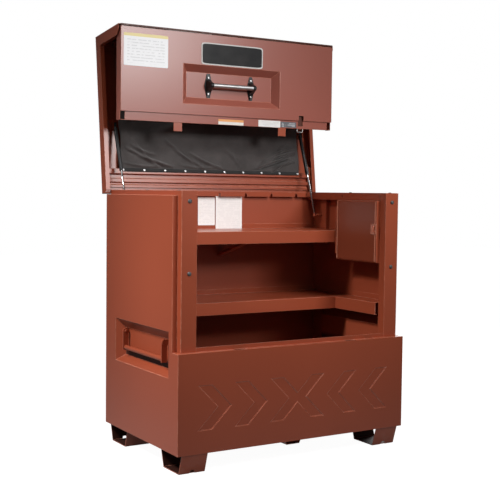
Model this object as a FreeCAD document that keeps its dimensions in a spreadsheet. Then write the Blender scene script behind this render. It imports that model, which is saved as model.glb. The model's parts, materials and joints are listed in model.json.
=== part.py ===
import FreeCAD, Part
import Sketcher
import os
import re

# A steel jobsite storage box of the piano kind, shown open. The frame has +X to the right, +Y to
# the back and +Z up, with the origin on the floor under the middle of the open box. Lengths are in
# millimetres. Every piece is drawn where it lies with the lid shut, about the middle of the body,
# and its Placement then carries it to the open position.

doc = FreeCAD.newDocument("StorageBox")
sheet = doc.addObject("Spreadsheet::Sheet", "dims")

sizes = [
    ("centreY", -66.53, "middle of the body, along Y"),
    ("bodyWidth", 1219, "outside width of the body"),
    ("bodyDepth", 756, "outside depth of the body"),
    ("bodyTop", 1212, "height of the body's top edge"),
    ("footHeight", 87, "height of the feet"),
    ("metal", 2, "thickness of the sheet steel"),
    ("pressGrow", 2.8, "growth of a pressed recess's outside round its mouth"),
    ("ledgeTop", 523, "height of the ledge on the front panel"),
    ("upstand", 19, "height of the lip behind the ledge"),
    ("jog", 24, "how far the body steps in under the lid"),
    ("topJog", 21, "height of the step at the top of the sides"),
    ("frontJog", 60, "depth of the step beside the front opening"),
    ("postSetback", 26, "front face of the posts behind the front plane"),
    ("postWidth", 73, "width of a front post"),
    ("postReturn", 45, "depth of a post's inner flange"),
    ("postLip", 14, "width of the lip on a post's inner flange"),
    ("railWidth", 25, "width of the rails round the top edge"),
    ("railHeight", 37, "height of the side rails round the top edge"),
    ("rearRailHeight", 26, "height of the rear rail"),
    ("notchCount", 7, "number of notches in the rear rail"),
    ("notchPitch", 157, "pitch of the notches in the rear rail"),
    ("notchRadius", 7, "radius of a notch in the rear rail"),
    ("notchRise", 9, "centre of a notch's round end above the rear rail's lower edge"),
    ("railHole", 4, "radius of the holes in the side rails"),
    ("railHoleFront", 62, "front hole of a side rail behind the post"),
    ("railHoleRear", 318, "rear hole of a side rail ahead of the back"),
    ("chevronLow", 187, "lower edge of the pressed chevrons"),
    ("chevronHeight", 195, "height of the pressed chevrons"),
    ("chevronWidth", 70, "width of a chevron's arm along X"),
    ("chevronPitch", 184, "pitch of the chevrons"),
    ("chevronInner", 75.5, "inner edge of the chevrons nearest the middle"),
    ("chevronDepth", 3, "depth of the pressing"),
    ("footInset", 23, "foot inboard of the side"),
    ("footLength", 127, "length of a foot along X"),
    ("footSetback", 5, "foot behind the front plane"),
    ("footTop", 199, "width of a foot at its top, along Y"),
    ("footSlope", 27, "how far each foot wall slopes in"),
    ("footMetal", 4, "thickness of a foot's steel"),
    ("footNotch", 28, "width of the notch in a foot's outer wall"),
    ("footNotchTall", 14, "height of the notch in a foot's outer wall"),
    ("channelWidth", 94, "width of the channel under the floor"),
    ("channelHeight", 24, "height of the channel under the floor"),
    ("channelSlope", 12, "slope of the channel's walls and ends"),
    ("channelLength", 690, "length of the channel under the floor"),
    ("pocketFront", 32, "front end of a handle pocket behind the front opening's jamb"),
    ("pocketRear", 112, "rear end of a handle pocket ahead of the back"),
    ("pocketHeight", 200, "height of a handle pocket's mouth"),
    ("pocketLow", 408, "lower edge of a handle pocket's mouth"),
    ("pocketDepth", 38, "depth of a handle pocket"),
    ("pocketRun", 34, "slope of a handle pocket's ends"),
    ("pocketRunTop", 42, "slope of a handle pocket's upper wall"),
    ("pocketRunLow", 28, "slope of a handle pocket's lower wall"),
    ("pocketFlange", 12, "width of the flange round a handle pocket"),
    ("bailIn", 76, "lifting handle's legs inside the ends of its pocket"),
    ("bailPivotZ", 553, "height of a lifting handle's pivots"),
    ("bailPivotIn", 17, "pivots inboard of the side"),
    ("bailDrop", 76, "pivot to bar on a lifting handle"),
    ("bailBar", 10.5, "radius of a lifting handle's bar"),
    ("bailLeg", 13, "half width of a lifting handle's leg"),
    ("bailThick", 8, "thickness of a lifting handle's leg"),
    ("earThick", 4, "thickness of a handle's ear"),
    ("earHalf", 12, "half height of a handle's ear"),
    ("earGap", 0.5, "gap between a handle's ear and its leg"),
    ("boltRadius", 4.5, "radius of a handle's pivot bolt"),
    ("boltGap", 0.05, "running clearance round a pivot"),
    ("shelfReach", 362, "front face of the shelves ahead of the back"),
    ("shelfLip", 59, "height of a shelf's lip"),
    ("shelfHem", 12, "width of the hem under a shelf's lip"),
    ("shelfRise", 25, "height of the turn-up at a shelf's back"),
    ("upperShelfTop", 1020, "top of the upper shelf"),
    ("lowerShelfTop", 684, "top of the lower shelf"),
    ("nookIn", 117.5, "face of the small locker and of the side shelf inside the side"),
    ("nookLow", 876, "underside of the small locker"),
    ("nookTop", 1174, "top of the small locker"),
    ("nookFrame", 10, "width of the locker's door frame"),
    ("braceX", 20, "place of the shelf's brace, along X"),
    ("braceWidth", 30, "width of the shelf's brace"),
    ("braceTall", 16, "height of the shelf's brace"),
    ("braceDrop", 140, "rear end of the brace below the shelf"),
    ("standardBack", 142, "front face of the upright ahead of the back"),
    ("standardWidth", 52, "width of the upright on the side"),
    ("standardDepth", 22, "depth of the upright on the side"),
    ("standardDrop", 272, "lower end of the upright below the body's top edge"),
    ("lidOpen", 96.7, "angle of the open lid"),
    ("lidRise", 31, "top of the lid above the body"),
    ("lidOverhang", 4.5, "lid beyond the side of the body"),
    ("lidSetback", 6, "front face of the lid behind the front plane"),
    ("skirtDepth", 50, "depth of the lid's skirts"),
    ("skirtLip", 20, "width of the lip inside a skirt"),
    ("skirtEnd", 24, "depth of the facet's skirt at its end"),
    ("facetHeight", 278, "lid's top to the door's hinge"),
    ("rearChamfer", 17, "cut corner at the rear end of a skirt"),
    ("lipStop", 60, "end of the facet's lips above the door's hinge"),
    ("hingeDrop", 7, "lid's hinge below the body's top edge"),
    ("hingeRadius", 6, "radius of the lid hinge's barrel"),
    ("hingeLeaf", 1.5, "thickness of a hinge leaf"),
    ("hingeLeafWidth", 34, "width of a hinge leaf"),
    ("hingePin", 2.5, "radius of a hinge pin"),
    ("hingeGap", 1, "gap between two knuckles"),
    ("knuckles", 7, "number of knuckles in the lid's hinge"),
    ("doorHingeRadius", 5, "radius of the door hinge's barrel"),
    ("doorKnuckles", 5, "number of knuckles in the door's hinge"),
    ("doorLeafWidth", 17, "width of the door hinge's leaves"),
    ("hingeSlot", 1, "gap between a barrel and the sheet beside it"),
    ("doorSideGap", 9, "door's side inside the lid's side"),
    ("doorClear", 2, "door's lower edge above the ledge"),
    ("doorSide", 50, "depth of the door's sides"),
    ("doorReturn", 17, "depth of the door's upper and lower flanges"),
    ("stripHeight", 41, "height of the channel along the door's lower edge"),
    ("stripInset", 8, "depth of the channel along the door's lower edge"),
    ("stripNotch", 24, "length of the notch at each end of that channel"),
    ("panHalf", 278, "half width of the handle recess in the door"),
    ("panLow", 93, "handle recess above the door's lower edge"),
    ("panHeight", 191, "height of the handle recess"),
    ("panDepth", 34, "depth of the handle recess"),
    ("panRun", 33, "slope of the handle recess's walls"),
    ("gripHalf", 122, "handle brackets from the middle of the door"),
    ("gripRadius", 9.5, "radius of the door handle's bar"),
    ("gripOut", 2, "bar's axis in front of the door's face"),
    ("gripPlate", 3, "thickness of a handle bracket"),
    ("gripTall", 118, "height of a handle bracket"),
    ("gripWide", 46, "width of a handle bracket"),
    ("gripEnd", 18, "width of a handle bracket's two ends"),
    ("armWide", 16, "width of a bracket's arm at the bar"),
    ("armTall", 26, "height of a bracket's arm at the bar"),
    ("armFootWide", 28, "width of a bracket's arm at its plate"),
    ("armFootTall", 60, "height of a bracket's arm at its plate"),
    ("ringWall", 3.5, "wall of a bracket round the bar"),
    ("gripOverhang", 6, "bar beyond the middle of its brackets"),
    ("tabIn", 309.5, "catch tabs inside the body's sides"),
    ("tabHalf", 23, "half width of a catch tab"),
    ("tabThick", 3, "thickness of a catch tab"),
    ("tabDrop", 42, "catch tab below the door's lower edge"),
    ("slotClear", 6, "clearance round a catch tab in the ledge"),
    ("slotInset", 1, "slots in the ledge behind the front sheet"),
    ("lockIn", 197.5, "lock inside the body's right side"),
    ("lockHalf", 15, "half width of the lock's slot"),
    ("lockLow", 12, "lock's slot above the door's lower edge"),
    ("lockTall", 54, "height of the lock's slot"),
    ("lockDepth", 12, "depth of the lock's pocket behind the face"),
    ("stapleHalf", 17, "half width of the lock's staple"),
    ("stapleThick", 3, "half the thickness of the lock's staple"),
    ("stapleDrop", 18, "staple's bar below the door's lower edge"),
    ("beamFront", 112, "front edge of the lid's rear beam, from the hinge"),
    ("beamRear", 22, "rear edge of the lid's rear beam, from the hinge"),
    ("beamDepth", 24, "depth of the lid's rear beam"),
    ("beamStep", 16, "depth of the middle step of the rear beam"),
    ("beamLow", 8, "depth of the rear step of the rear beam"),
    ("beamWeb", 4, "depth of the rear beam between its steps"),
    ("beamIn", 23.5, "ends of the rear beam inside the body's sides"),
    ("beamFold", 24, "width of the rear beam's deep front fold"),
    ("beamSlant", 4, "run of each slanted wall of the rear beam"),
    ("beamGroove", 16, "width of the rear beam's first groove"),
    ("beamRidge", 16, "width of the rear beam's middle step"),
    ("beamGap", 6, "width of the rear beam's second groove"),
    ("railTube", 24, "width of the rail at the liner's front edge"),
    ("tubeIn", 79.5, "ends of that rail inside the body's sides"),
    ("linerIn", 87.5, "sides of the liner inside the body's sides"),
    ("linerThick", 3, "thickness of the fabric liner"),
    ("linerFront", 330, "front edge of the liner from the middle of the body"),
    ("linerLap", 14, "liner's lap on the beam"),
    ("gussetRear", 50, "rear end of the lid's corner gusset, from the hinge"),
    ("gussetFront", 165, "front end of the lid's corner gusset, from the hinge"),
    ("gussetDepth", 34, "depth of the lid's corner gusset"),
    ("gussetWidth", 26, "width of the lid's corner gusset"),
    ("gussetSlope", 20, "slope of the gusset's two ends"),
    ("springIn", 66.5, "gas springs inside the body's sides"),
    ("springAhead", 98, "lower end of a gas spring ahead of the back"),
    ("springDrop", 119, "lower end of a gas spring below the body's top edge"),
    ("springBehind", 58, "upper end of a gas spring behind the back, lid open"),
    ("springLift", 318, "upper end of a gas spring above the body's top edge, lid open"),
    ("springTube", 9, "radius of a gas spring's cylinder"),
    ("springRod", 4.5, "radius of a gas spring's rod"),
    ("springTubeLength", 223, "length of a gas spring's cylinder"),
    ("springEye", 9, "radius of a gas spring's end"),
    ("springEyeWidth", 10, "width of a gas spring's end"),
    ("springNeck", 15, "eye's middle to the cylinder's end"),
    ("springRodLength", 234, "eye's middle to the rod's inner end"),
    ("springCap", 3, "thickness of a gas cylinder's end"),
    ("studRadius", 4, "radius of a gas spring's stud"),
    ("studShoulder", 7, "radius of the lower stud's shoulder"),
    ("stayPlate", 3, "thickness of a gas spring's bracket"),
    ("stayGap", 2, "gap between a bracket and the cylinder"),
    ("stayHalf", 22, "half width of a gas spring's bracket"),
    ("studGap", 1, "gap between a stud's shoulder and the spring's end"),
    ("nookHingeOut", 6, "locker hinge in front of the locker's face"),
    ("nookHingeRadius", 4, "radius of the locker hinge's barrel"),
    ("nookHingePin", 1.8, "radius of the locker hinge's pin"),
    ("nookKnuckles", 3, "number of knuckles in the locker's hinge"),
    ("nookHingeEnd", 30, "locker hinge's ends inside the locker's"),
    ("nookDoorGap", 2, "locker door in front of the frame"),
    ("hemWidth", 7, "width of the hems on the locker's door"),
    ("haspZ", 1038, "height of the locker's hasp"),
    ("haspGap", 1.5, "gap round the staple in the hasp's slot"),
    ("haspHalf", 23, "half height of the hasp"),
    ("haspLength", 44, "length of the hasp"),
    ("haspRing", 18, "radius of the hasp's staple"),
    ("haspWire", 2.5, "half the thickness of the hasp's staple"),
]
for row, (alias, value, note) in enumerate(sizes, 1):
    sheet.set("A%d" % row, str(value))
    sheet.set("B%d" % row, note)
    sheet.setAlias("A%d" % row, alias)
doc.recompute()

words = re.compile(r"\b(%s)\b" % "|".join(alias for alias, value, note in sizes))

# Places and lengths that follow from the sizes. A formula may name them like a size.
derived = {
    "pocketY": "((frontJog + pocketFront - pocketRear) / 2)",
    "pocketLength": "(bodyDepth - frontJog - pocketFront - pocketRear)",
    "bailHalf": "((bodyDepth - frontJog - pocketFront - pocketRear) / 2 - bailIn)",
    "shelfFrontY": "(bodyDepth / 2 - shelfReach)",
    "nookX": "(bodyWidth / 2 - nookIn)",
    "standardFront": "(bodyDepth / 2 - standardBack)",
    "standardLow": "(bodyTop - standardDrop)",
    "tabX": "(bodyWidth / 2 - tabIn)",
    "lockX": "(bodyWidth / 2 - lockIn)",
    "beamHalf": "(bodyWidth / 2 - beamIn)",
    "tubeHalf": "(bodyWidth / 2 - tubeIn)",
    "linerHalf": "(bodyWidth / 2 - linerIn)",
    "springX": "(bodyWidth / 2 - springIn)",
    "springLowY": "(bodyDepth / 2 - springAhead)",
    "springLowZ": "(bodyTop - springDrop)",
    "springHighY": "(bodyDepth / 2 + springBehind)",
    "springHighZ": "(bodyTop + springLift)",
}
places = re.compile(r"\b(%s)\b" % "|".join(derived))

# Corners and faces with the lid shut, seen from the middle of the body.
HALF = "(bodyWidth / 2)"
FRONT = "(-bodyDepth / 2)"
BACK = "(bodyDepth / 2)"
INNER = "(bodyWidth / 2 - metal)"
JOG_X = "(bodyWidth / 2 - jog)"
JOG_Y = "(-bodyDepth / 2 + frontJog)"
JOG_Z = "(bodyTop - topJog)"
POST_Y = "(-bodyDepth / 2 + postSetback)"
POST_OUT = "(bodyWidth / 2 - jog - metal)"
POST_IN = "(bodyWidth / 2 - jog - metal - postWidth)"
POST_BACK = "(-bodyDepth / 2 + postSetback + postReturn)"
FLOOR = "(footHeight + metal)"
HINGE_Y = "(bodyDepth / 2 + hingeRadius + hingeSlot)"
HINGE_Z = "(bodyTop - hingeDrop)"
LID_HALF = "(bodyWidth / 2 + lidOverhang)"
LID_TOP = "(bodyTop + lidRise)"
LID_FRONT = "(-bodyDepth / 2 + lidSetback)"
LID_REAR = "(bodyDepth / 2 + 2 * hingeRadius + 2 * hingeSlot + metal)"
SKIRT_Z = "(bodyTop + lidRise - skirtDepth)"
SKIRT_Y = "(-bodyDepth / 2 + lidSetback + skirtDepth)"
PIVOT_Y = "(-bodyDepth / 2 + lidSetback + doorHingeRadius)"
PIVOT_Z = "(bodyTop + lidRise - facetHeight)"
FACET_END = "(bodyTop + lidRise - facetHeight + doorHingeRadius + hingeSlot)"
DOOR_HALF = "(bodyWidth / 2 + lidOverhang - doorSideGap)"
DOOR_TOP = "(bodyTop + lidRise - facetHeight - doorHingeRadius - hingeSlot - hingeLeaf)"
DOOR_LOW = "(ledgeTop + doorClear)"
STRIP_TOP = "(ledgeTop + doorClear + stripHeight)"
STRIP_Y = "(-bodyDepth / 2 + lidSetback + stripInset)"
PAN_LOW = "(ledgeTop + doorClear + panLow)"
PAN_MID = "(ledgeTop + doorClear + panLow + panHeight / 2)"
PAN_FLOOR = "(-bodyDepth / 2 + lidSetback + panDepth)"
POCKET_FLOOR = "(bodyWidth / 2 - metal - pocketDepth)"
BAIL_X = "(bodyWidth / 2 - bailPivotIn)"
STANDARD_X = "(bodyWidth / 2 - metal - standardDepth)"
SHELF_END = STANDARD_X
BEAM_Z = "(bodyTop + lidRise - metal - beamDepth)"
BEAM_Y = "(bodyDepth / 2 + hingeRadius - beamFront)"
STAY_X = "(springX + springTube + stayGap)"
NOOK_FRONT = "(-bodyDepth / 2 + postSetback + postReturn + hingeSlot)"
NOOK_BACK = "(shelfFrontY - metal)"
STAPLE_Y = "(-bodyDepth / 2 + postSetback + postReturn + hingeSlot + nookFrame / 2)"
NOOK_AXIS_X = "(nookX - nookHingeOut)"
NOOK_AXIS_Y = "(shelfFrontY - metal - nookHingeRadius - hingeGap)"

COS = "cos(lidOpen * 1deg)"
SIN = "sin(lidOpen * 1deg)"


def turned(y, z):
    """A point of the shut lid, turned open about the lid's hinge."""
    opened_y = f"({HINGE_Y} + ({y} - {HINGE_Y}) * {COS} + ({z} - {HINGE_Z}) * {SIN})"
    opened_z = f"({HINGE_Z} - ({y} - {HINGE_Y}) * {SIN} + ({z} - {HINGE_Z}) * {COS})"
    return opened_y, opened_z


def shut(y, z):
    """A point of the open lid, turned shut about the lid's hinge."""
    shut_y = f"({HINGE_Y} + ({y} - {HINGE_Y}) * {COS} - ({z} - {HINGE_Z}) * {SIN})"
    shut_z = f"({HINGE_Z} + ({y} - {HINGE_Y}) * {SIN} + ({z} - {HINGE_Z}) * {COS})"
    return shut_y, shut_z


PIVOT_OPEN_Y, PIVOT_OPEN_Z = turned(PIVOT_Y, PIVOT_Z)
ORIGIN_OPEN_Y, ORIGIN_OPEN_Z = turned("0", "0")


# Helpers
def formula(text):
    spelled = places.sub(lambda found: derived[found.group(1)], str(text))
    return words.sub(lambda found: "dims." + found.group(1), spelled)


def number(text):
    return float(sheet.evalExpression(formula(text)))


def bind(obj, path, text):
    obj.setExpression(path, formula(text))


def rectangle(low_u, high_u, low_v, high_v):
    return [(low_u, low_v), (high_u, low_v), (high_u, high_v), (low_u, high_v)]


def sketch_on(body, plane, wires, offset):
    """A sketch whose corners are each held by two distances from the sketch's own origin."""
    sketch = body.newObject("Sketcher::SketchObject", body.Name + "_sketch")
    support = [item for item in body.Origin.OriginFeatures if item.Role == plane + "_Plane"][0]
    sketch.AttachmentSupport = [(support, "")]
    sketch.MapMode = "FlatFace"
    bind(sketch, "AttachmentOffset.Base.z", offset)
    for corners in wires:
        places = [FreeCAD.Vector(number(u), number(v), 0) for u, v in corners]
        first = sketch.GeometryCount
        count = len(corners)
        for i in range(count):
            sketch.addGeometry(Part.LineSegment(places[i], places[(i + 1) % count]))
        for i in range(count):
            after = first + (i + 1) % count
            sketch.addConstraint(Sketcher.Constraint("Coincident", first + i, 2, after, 1))
        for i, (u, v) in enumerate(corners):
            for kind, text, value in (("DistanceX", u, places[i].x), ("DistanceY", v, places[i].y)):
                index = sketch.addConstraint(Sketcher.Constraint(kind, -1, 1, first + i, 1, value))
                bind(sketch, "Constraints[%d]" % index, text)
    return sketch


def circle_on(body, plane, centres, radius, offset):
    """A sketch of equal circles, each centre held by two distances."""
    sketch = sketch_on(body, plane, [], offset)
    size = number(radius)
    for u, v in centres:
        place = FreeCAD.Vector(number(u), number(v), 0)
        index = sketch.addGeometry(Part.Circle(place, FreeCAD.Vector(0, 0, 1), size))
        for kind, text, value in (("DistanceX", u, place.x), ("DistanceY", v, place.y)):
            held = sketch.addConstraint(Sketcher.Constraint(kind, -1, 1, index, 3, value))
            bind(sketch, "Constraints[%d]" % held, text)
        held = sketch.addConstraint(Sketcher.Constraint("Radius", index, size))
        bind(sketch, "Constraints[%d]" % held, radius)
    return sketch


def add(body, plane, wires, low, high, taper=None):
    """Pad outlines from low to high along the plane's axis; a taper narrows them away from low."""
    start = "-(%s)" % high if plane == "XZ" else low
    pad = body.newObject("PartDesign::Pad", body.Name + "_pad")
    pad.Profile = sketch_on(body, plane, wires, start)
    bind(pad, "Length", "(%s) - (%s)" % (high, low))
    if taper is not None:
        pad.TaperAngle = taper
    return pad


def cut(body, plane, wires, low, high, taper=None):
    """Pocket outlines from one end of the span through to the other."""
    start = "-(%s)" % low if plane == "XZ" else high
    pocket = body.newObject("PartDesign::Pocket", body.Name + "_pocket")
    pocket.Profile = sketch_on(body, plane, wires, start)
    bind(pocket, "Length", "(%s) - (%s)" % (high, low))
    if taper is not None:
        pocket.TaperAngle = taper
    return pocket


def drill(body, plane, centres, radius, low, high):
    """Pocket round holes through a span."""
    start = "-(%s)" % low if plane == "XZ" else high
    pocket = body.newObject("PartDesign::Pocket", body.Name + "_holes")
    pocket.Profile = circle_on(body, plane, centres, radius, start)
    bind(pocket, "Length", "(%s) - (%s)" % (high, low))
    return pocket


def new_body(label):
    body = doc.addObject("PartDesign::Body", label)
    body.Label = label
    return body


def prism(label, plane, wires, low, high):
    body = new_body(label)
    add(body, plane, wires, low, high)
    return body


def block(name, low, high):
    """A Part box between two corners, each given as three formulas."""
    box = doc.addObject("Part::Box", name)
    for side, path, a, b in zip(("Length", "Width", "Height"), "xyz", low, high):
        bind(box, side, "(%s) - (%s)" % (b, a))
        bind(box, "Placement.Base." + path, a)
    return box


def bar(name, radius, length, start, along):
    """A Part cylinder from a start point along X, Y or Z."""
    turns = {"x": FreeCAD.Rotation(FreeCAD.Vector(0, 1, 0), 90),
             "y": FreeCAD.Rotation(FreeCAD.Vector(1, 0, 0), -90),
             "z": FreeCAD.Rotation()}
    cylinder = doc.addObject("Part::Cylinder", name)
    cylinder.Placement = FreeCAD.Placement(FreeCAD.Vector(0, 0, 0), turns[along])
    bind(cylinder, "Radius", radius)
    bind(cylinder, "Height", length)
    for path, text in zip("xyz", start):
        bind(cylinder, "Placement.Base." + path, text)
    return cylinder


def frustum(name, mouth, floor, depth):
    """A Part wedge from a rectangular mouth (u, v) to a smaller floor, its depth along +Y."""
    wedge = doc.addObject("Part::Wedge", name)
    for prefix, (low_u, high_u, low_v, high_v) in (("", mouth), ("2", floor)):
        bind(wedge, "X%smin" % prefix, low_u)
        bind(wedge, "X%smax" % prefix, high_u)
        bind(wedge, "Z%smin" % prefix, low_v)
        bind(wedge, "Z%smax" % prefix, high_v)
    bind(wedge, "Ymin", depth[0])
    bind(wedge, "Ymax", depth[1])
    return wedge


def fused(name, pieces):
    whole = doc.addObject("Part::MultiFuse", name)
    whole.Shapes = pieces
    return whole


def less(name, base, tool):
    rest = doc.addObject("Part::Cut", name)
    rest.Base = base
    rest.Tool = tool
    return rest


def group(name, pieces):
    """Separate solids that share one node."""
    whole = doc.addObject("Part::Compound", name)
    whole.Links = pieces
    return whole


def mirrored(name, source, normal=(1, 0, 0)):
    """The same piece on the other side of a middle plane of the body."""
    copy = doc.addObject("Part::Mirroring", name)
    copy.Source = source
    copy.Normal = normal
    bind(copy, "Base.y", "centreY")
    return copy


nodes = []


def keep(label, piece, carrier="body"):
    """Name a finished piece and carry it from its shut place to the open box."""
    piece.Label = label
    if carrier == "body":
        bind(piece, "Placement.Base.y", "centreY")
    if carrier == "lid":
        piece.Placement.Rotation.Axis = FreeCAD.Vector(1, 0, 0)
        bind(piece, "Placement.Rotation.Angle", "-lidOpen")
        bind(piece, "Placement.Base.y", "centreY + " + ORIGIN_OPEN_Y)
        bind(piece, "Placement.Base.z", ORIGIN_OPEN_Z)
    if carrier == "door":
        bind(piece, "Placement.Base.y", "centreY + " + PIVOT_OPEN_Y + " - " + PIVOT_Y)
        bind(piece, "Placement.Base.z", PIVOT_OPEN_Z + " - " + PIVOT_Z)
    nodes.append(piece)
    return piece


def keep_pair(label, piece, carrier="body"):
    """Keep a left piece and its mirror image on the right."""
    left = keep(label + "_left", piece, carrier)
    nodes.append(mirrored(label + "_right", left))
    nodes[-1].Label = label + "_right"
    return left


def spans(count, low, high, gap):
    """Where equal knuckles begin and end, with a gap between neighbours."""
    step = "((%s) - (%s) + %s) / %s" % (high, low, gap, count)
    return [("(%s) + %d * %s" % (low, i, step), "(%s) + %d * %s - %s" % (low, i + 1, step, gap))
            for i in range(int(number(count)))]


# The body's sheet steel
def side_panel():
    """Side sheet that steps in under the lid, at the top and beside the front opening."""
    plate = block("side_plate", ("-" + HALF, JOG_Y, "footHeight"), ("-" + INNER, BACK, JOG_Z))
    toe = block("side_toe", ("-" + HALF, FRONT + " + metal", "footHeight"),
                ("-" + INNER, JOG_Y, "ledgeTop - metal"))
    jamb = block("side_jamb", ("-" + HALF, JOG_Y, "ledgeTop"),
                 ("-" + POST_OUT, JOG_Y + " + metal", JOG_Z))
    cheek = block("side_cheek", ("-" + JOG_X, POST_Y, "ledgeTop"), ("-" + POST_OUT, JOG_Y, "bodyTop"))
    shoulder = block("side_shoulder", ("-" + HALF, JOG_Y, JOG_Z + " - metal"),
                     ("-" + POST_OUT, BACK + " - metal", JOG_Z))
    collar = block("side_collar", ("-" + JOG_X, JOG_Y, JOG_Z), ("-" + POST_OUT, BACK + " - metal", "bodyTop"))
    mouth = block("side_mouth", ("-" + HALF, "pocketY - pocketLength / 2", "pocketLow"),
                  ("-" + INNER, "pocketY + pocketLength / 2", "pocketLow + pocketHeight"))
    return less("side_panel", fused("side_sheet", [plate, toe, jamb, cheek, shoulder, collar]), mouth)


def back_panel():
    outline = [("-" + INNER, "footHeight"), (INNER, "footHeight"), (INNER, JOG_Z), (JOG_X, JOG_Z),
               (JOG_X, "bodyTop"), ("-" + JOG_X, "bodyTop"), ("-" + JOG_X, JOG_Z), ("-" + INNER, JOG_Z)]
    return prism("back_panel", "XZ", [outline], BACK + " - metal", BACK)


def chevron(index, side):
    """Outline of one pressed arrow that points to the middle; side is -1 on the left."""
    inner = "%d * (chevronInner + %d * chevronPitch)" % (side, index)
    outer = "(%s + %d * chevronWidth)" % (inner, side)
    reach = "%d * chevronHeight / 2" % -side
    top = "chevronLow + chevronHeight"
    middle = "chevronLow + chevronHeight / 2"
    return [(outer, "chevronLow"), (inner, "chevronLow"), ("%s + %s" % (inner, reach), middle),
            (inner, top), (outer, top), ("%s + %s" % (outer, reach), middle)]


def front_panel():
    """Lower front with its ledge, the lip behind it, the catch slots and the pressed chevrons."""
    body = new_body("front_panel")
    skin = FRONT + " + metal"
    lip = POST_Y + " + metal"
    sheet_line = [(FRONT, "footHeight"), (FRONT, "ledgeTop"), (lip, "ledgeTop"),
                  (lip, "ledgeTop - metal"), (skin, "ledgeTop - metal"), (skin, "footHeight")]
    add(body, "YZ", [sheet_line], "-" + HALF, HALF)
    add(body, "YZ", [rectangle(POST_Y, lip, "ledgeTop - metal", "ledgeTop + upstand")], "-" + POST_IN, POST_IN)
    for side in (-1, 1):
        ear = [("%d * %s" % (side, POST_OUT), POST_Y), ("%d * %s" % (side, HALF), POST_Y),
               ("%d * %s" % (side, HALF), JOG_Y), ("%d * %s" % (side, POST_OUT), JOG_Y)]
        add(body, "XY", [ear], "ledgeTop - metal", "ledgeTop")
    for side in (-1, 1):
        arrows = [chevron(index, side) for index in range(3)]
        add(body, "XZ", arrows, skin, skin + " + chevronDepth")
    for side in (-1, 1):
        arrows = [chevron(index, side) for index in range(3)]
        cut(body, "XZ", arrows, FRONT, FRONT + " + chevronDepth", -45)
    slots = [rectangle("%d * tabX - tabHalf - slotClear" % side, "%d * tabX + tabHalf + slotClear" % side,
                       skin + " + slotInset", STRIP_Y + " + 2 * metal + slotClear") for side in (-1, 1)]
    reach = "stapleHalf + stapleThick + slotClear"
    slots.append(rectangle("lockX - (%s)" % reach, "lockX + %s" % reach,
                           skin + " + slotInset", STRIP_Y + " + 2 * metal + slotClear"))
    cut(body, "XY", slots, "ledgeTop - metal", "ledgeTop")
    return body


def front_post():
    """Folded post at the side of the front opening."""
    inner = "-" + POST_IN
    outer = "-" + POST_OUT
    outline = [(outer, JOG_Y), (outer, POST_Y), (inner, POST_Y), (inner, POST_BACK),
               (inner + " - postLip", POST_BACK), (inner + " - postLip", POST_BACK + " - metal"),
               (inner + " - metal", POST_BACK + " - metal"), (inner + " - metal", POST_Y + " + metal"),
               (outer + " + metal", POST_Y + " + metal"), (outer + " + metal", JOG_Y)]
    return prism("front_post", "XY", [outline], "ledgeTop", "bodyTop")


def rear_rail():
    """Folded rail along the top of the back, with a row of notches open at its lower edge."""
    near = BACK + " - metal"
    far = BACK + " - metal - railWidth"
    low = "bodyTop - rearRailHeight"
    outline = [(near, "bodyTop"), (far, "bodyTop"), (far, low), (far + " + metal", low),
               (far + " + metal", "bodyTop - metal"), (near, "bodyTop - metal")]
    end = POST_OUT + " - railWidth"
    body = prism("rear_top_rail", "YZ", [outline], "-(%s)" % end, end)
    count = int(number("notchCount"))
    places = ["notchPitch * (%d - (notchCount - 1) / 2)" % i for i in range(count)]
    drill(body, "XZ", [(place, low + " + notchRise") for place in places], "notchRadius", far, far + " + metal")
    mouths = [rectangle(place + " - notchRadius", place + " + notchRadius", low, low + " + notchRise")
              for place in places]
    cut(body, "XZ", mouths, far, far + " + metal")
    return body


def side_rail():
    outer = "-" + POST_OUT
    inner = "-" + POST_OUT + " + railWidth"
    outline = [(outer, "bodyTop"), (inner, "bodyTop"), (inner, "bodyTop - railHeight"),
               (inner + " - metal", "bodyTop - railHeight"), (inner + " - metal", "bodyTop - metal"),
               (outer, "bodyTop - metal")]
    body = prism("side_rail", "XZ", [outline], POST_BACK, BACK + " - metal")
    centres = [(POST_BACK + " + railHoleFront", "bodyTop - railHeight / 2"),
               (BACK + " - railHoleRear", "bodyTop - railHeight / 2")]
    drill(body, "YZ", centres, "railHole", inner + " - metal", inner)
    return body


def foot(name):
    """Folded foot, a channel open at its two ends, with a notch in its outer sloped wall."""
    near = FRONT + " + footSetback"
    far = near + " + footTop"
    inset = "footSlope * (1 - footMetal / footHeight) + footMetal"
    outline = [(near, "footHeight"), (near + " + footSlope", "0"), (far + " - footSlope", "0"),
               (far, "footHeight"), (far + " - footMetal", "footHeight"),
               (far + " - (%s)" % inset, "footMetal"), (near + " + " + inset, "footMetal"),
               (near + " + footMetal", "footHeight")]
    side = "-" + HALF + " + footInset"
    body = prism(name, "YZ", [outline], side, side + " + footLength")
    middle = "(%s + footLength / 2)" % side
    notch = [(middle + " - footNotch / 2", "0"), (middle + " + footNotch / 2", "0"),
             (middle + " + footNotch / 4", "footNotchTall"), (middle + " - footNotch / 4", "footNotchTall")]
    cut(body, "XZ", [notch], near, near + " + footSlope + footMetal")
    return body


def floor_channel():
    half = "channelWidth / 2"
    low = "footHeight - channelHeight"
    inner = half + " - metal"
    outline = [("-" + half, "footHeight"), ("-%s + channelSlope" % half, low),
               (half + " - channelSlope", low), (half, "footHeight"), (inner, "footHeight"),
               (inner + " - channelSlope", low + " + metal"),
               ("-(%s - channelSlope)" % inner, low + " + metal"), ("-(%s)" % inner, "footHeight")]
    return prism("floor_channel", "XZ", [outline], "-channelLength / 2", "channelLength / 2")


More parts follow.
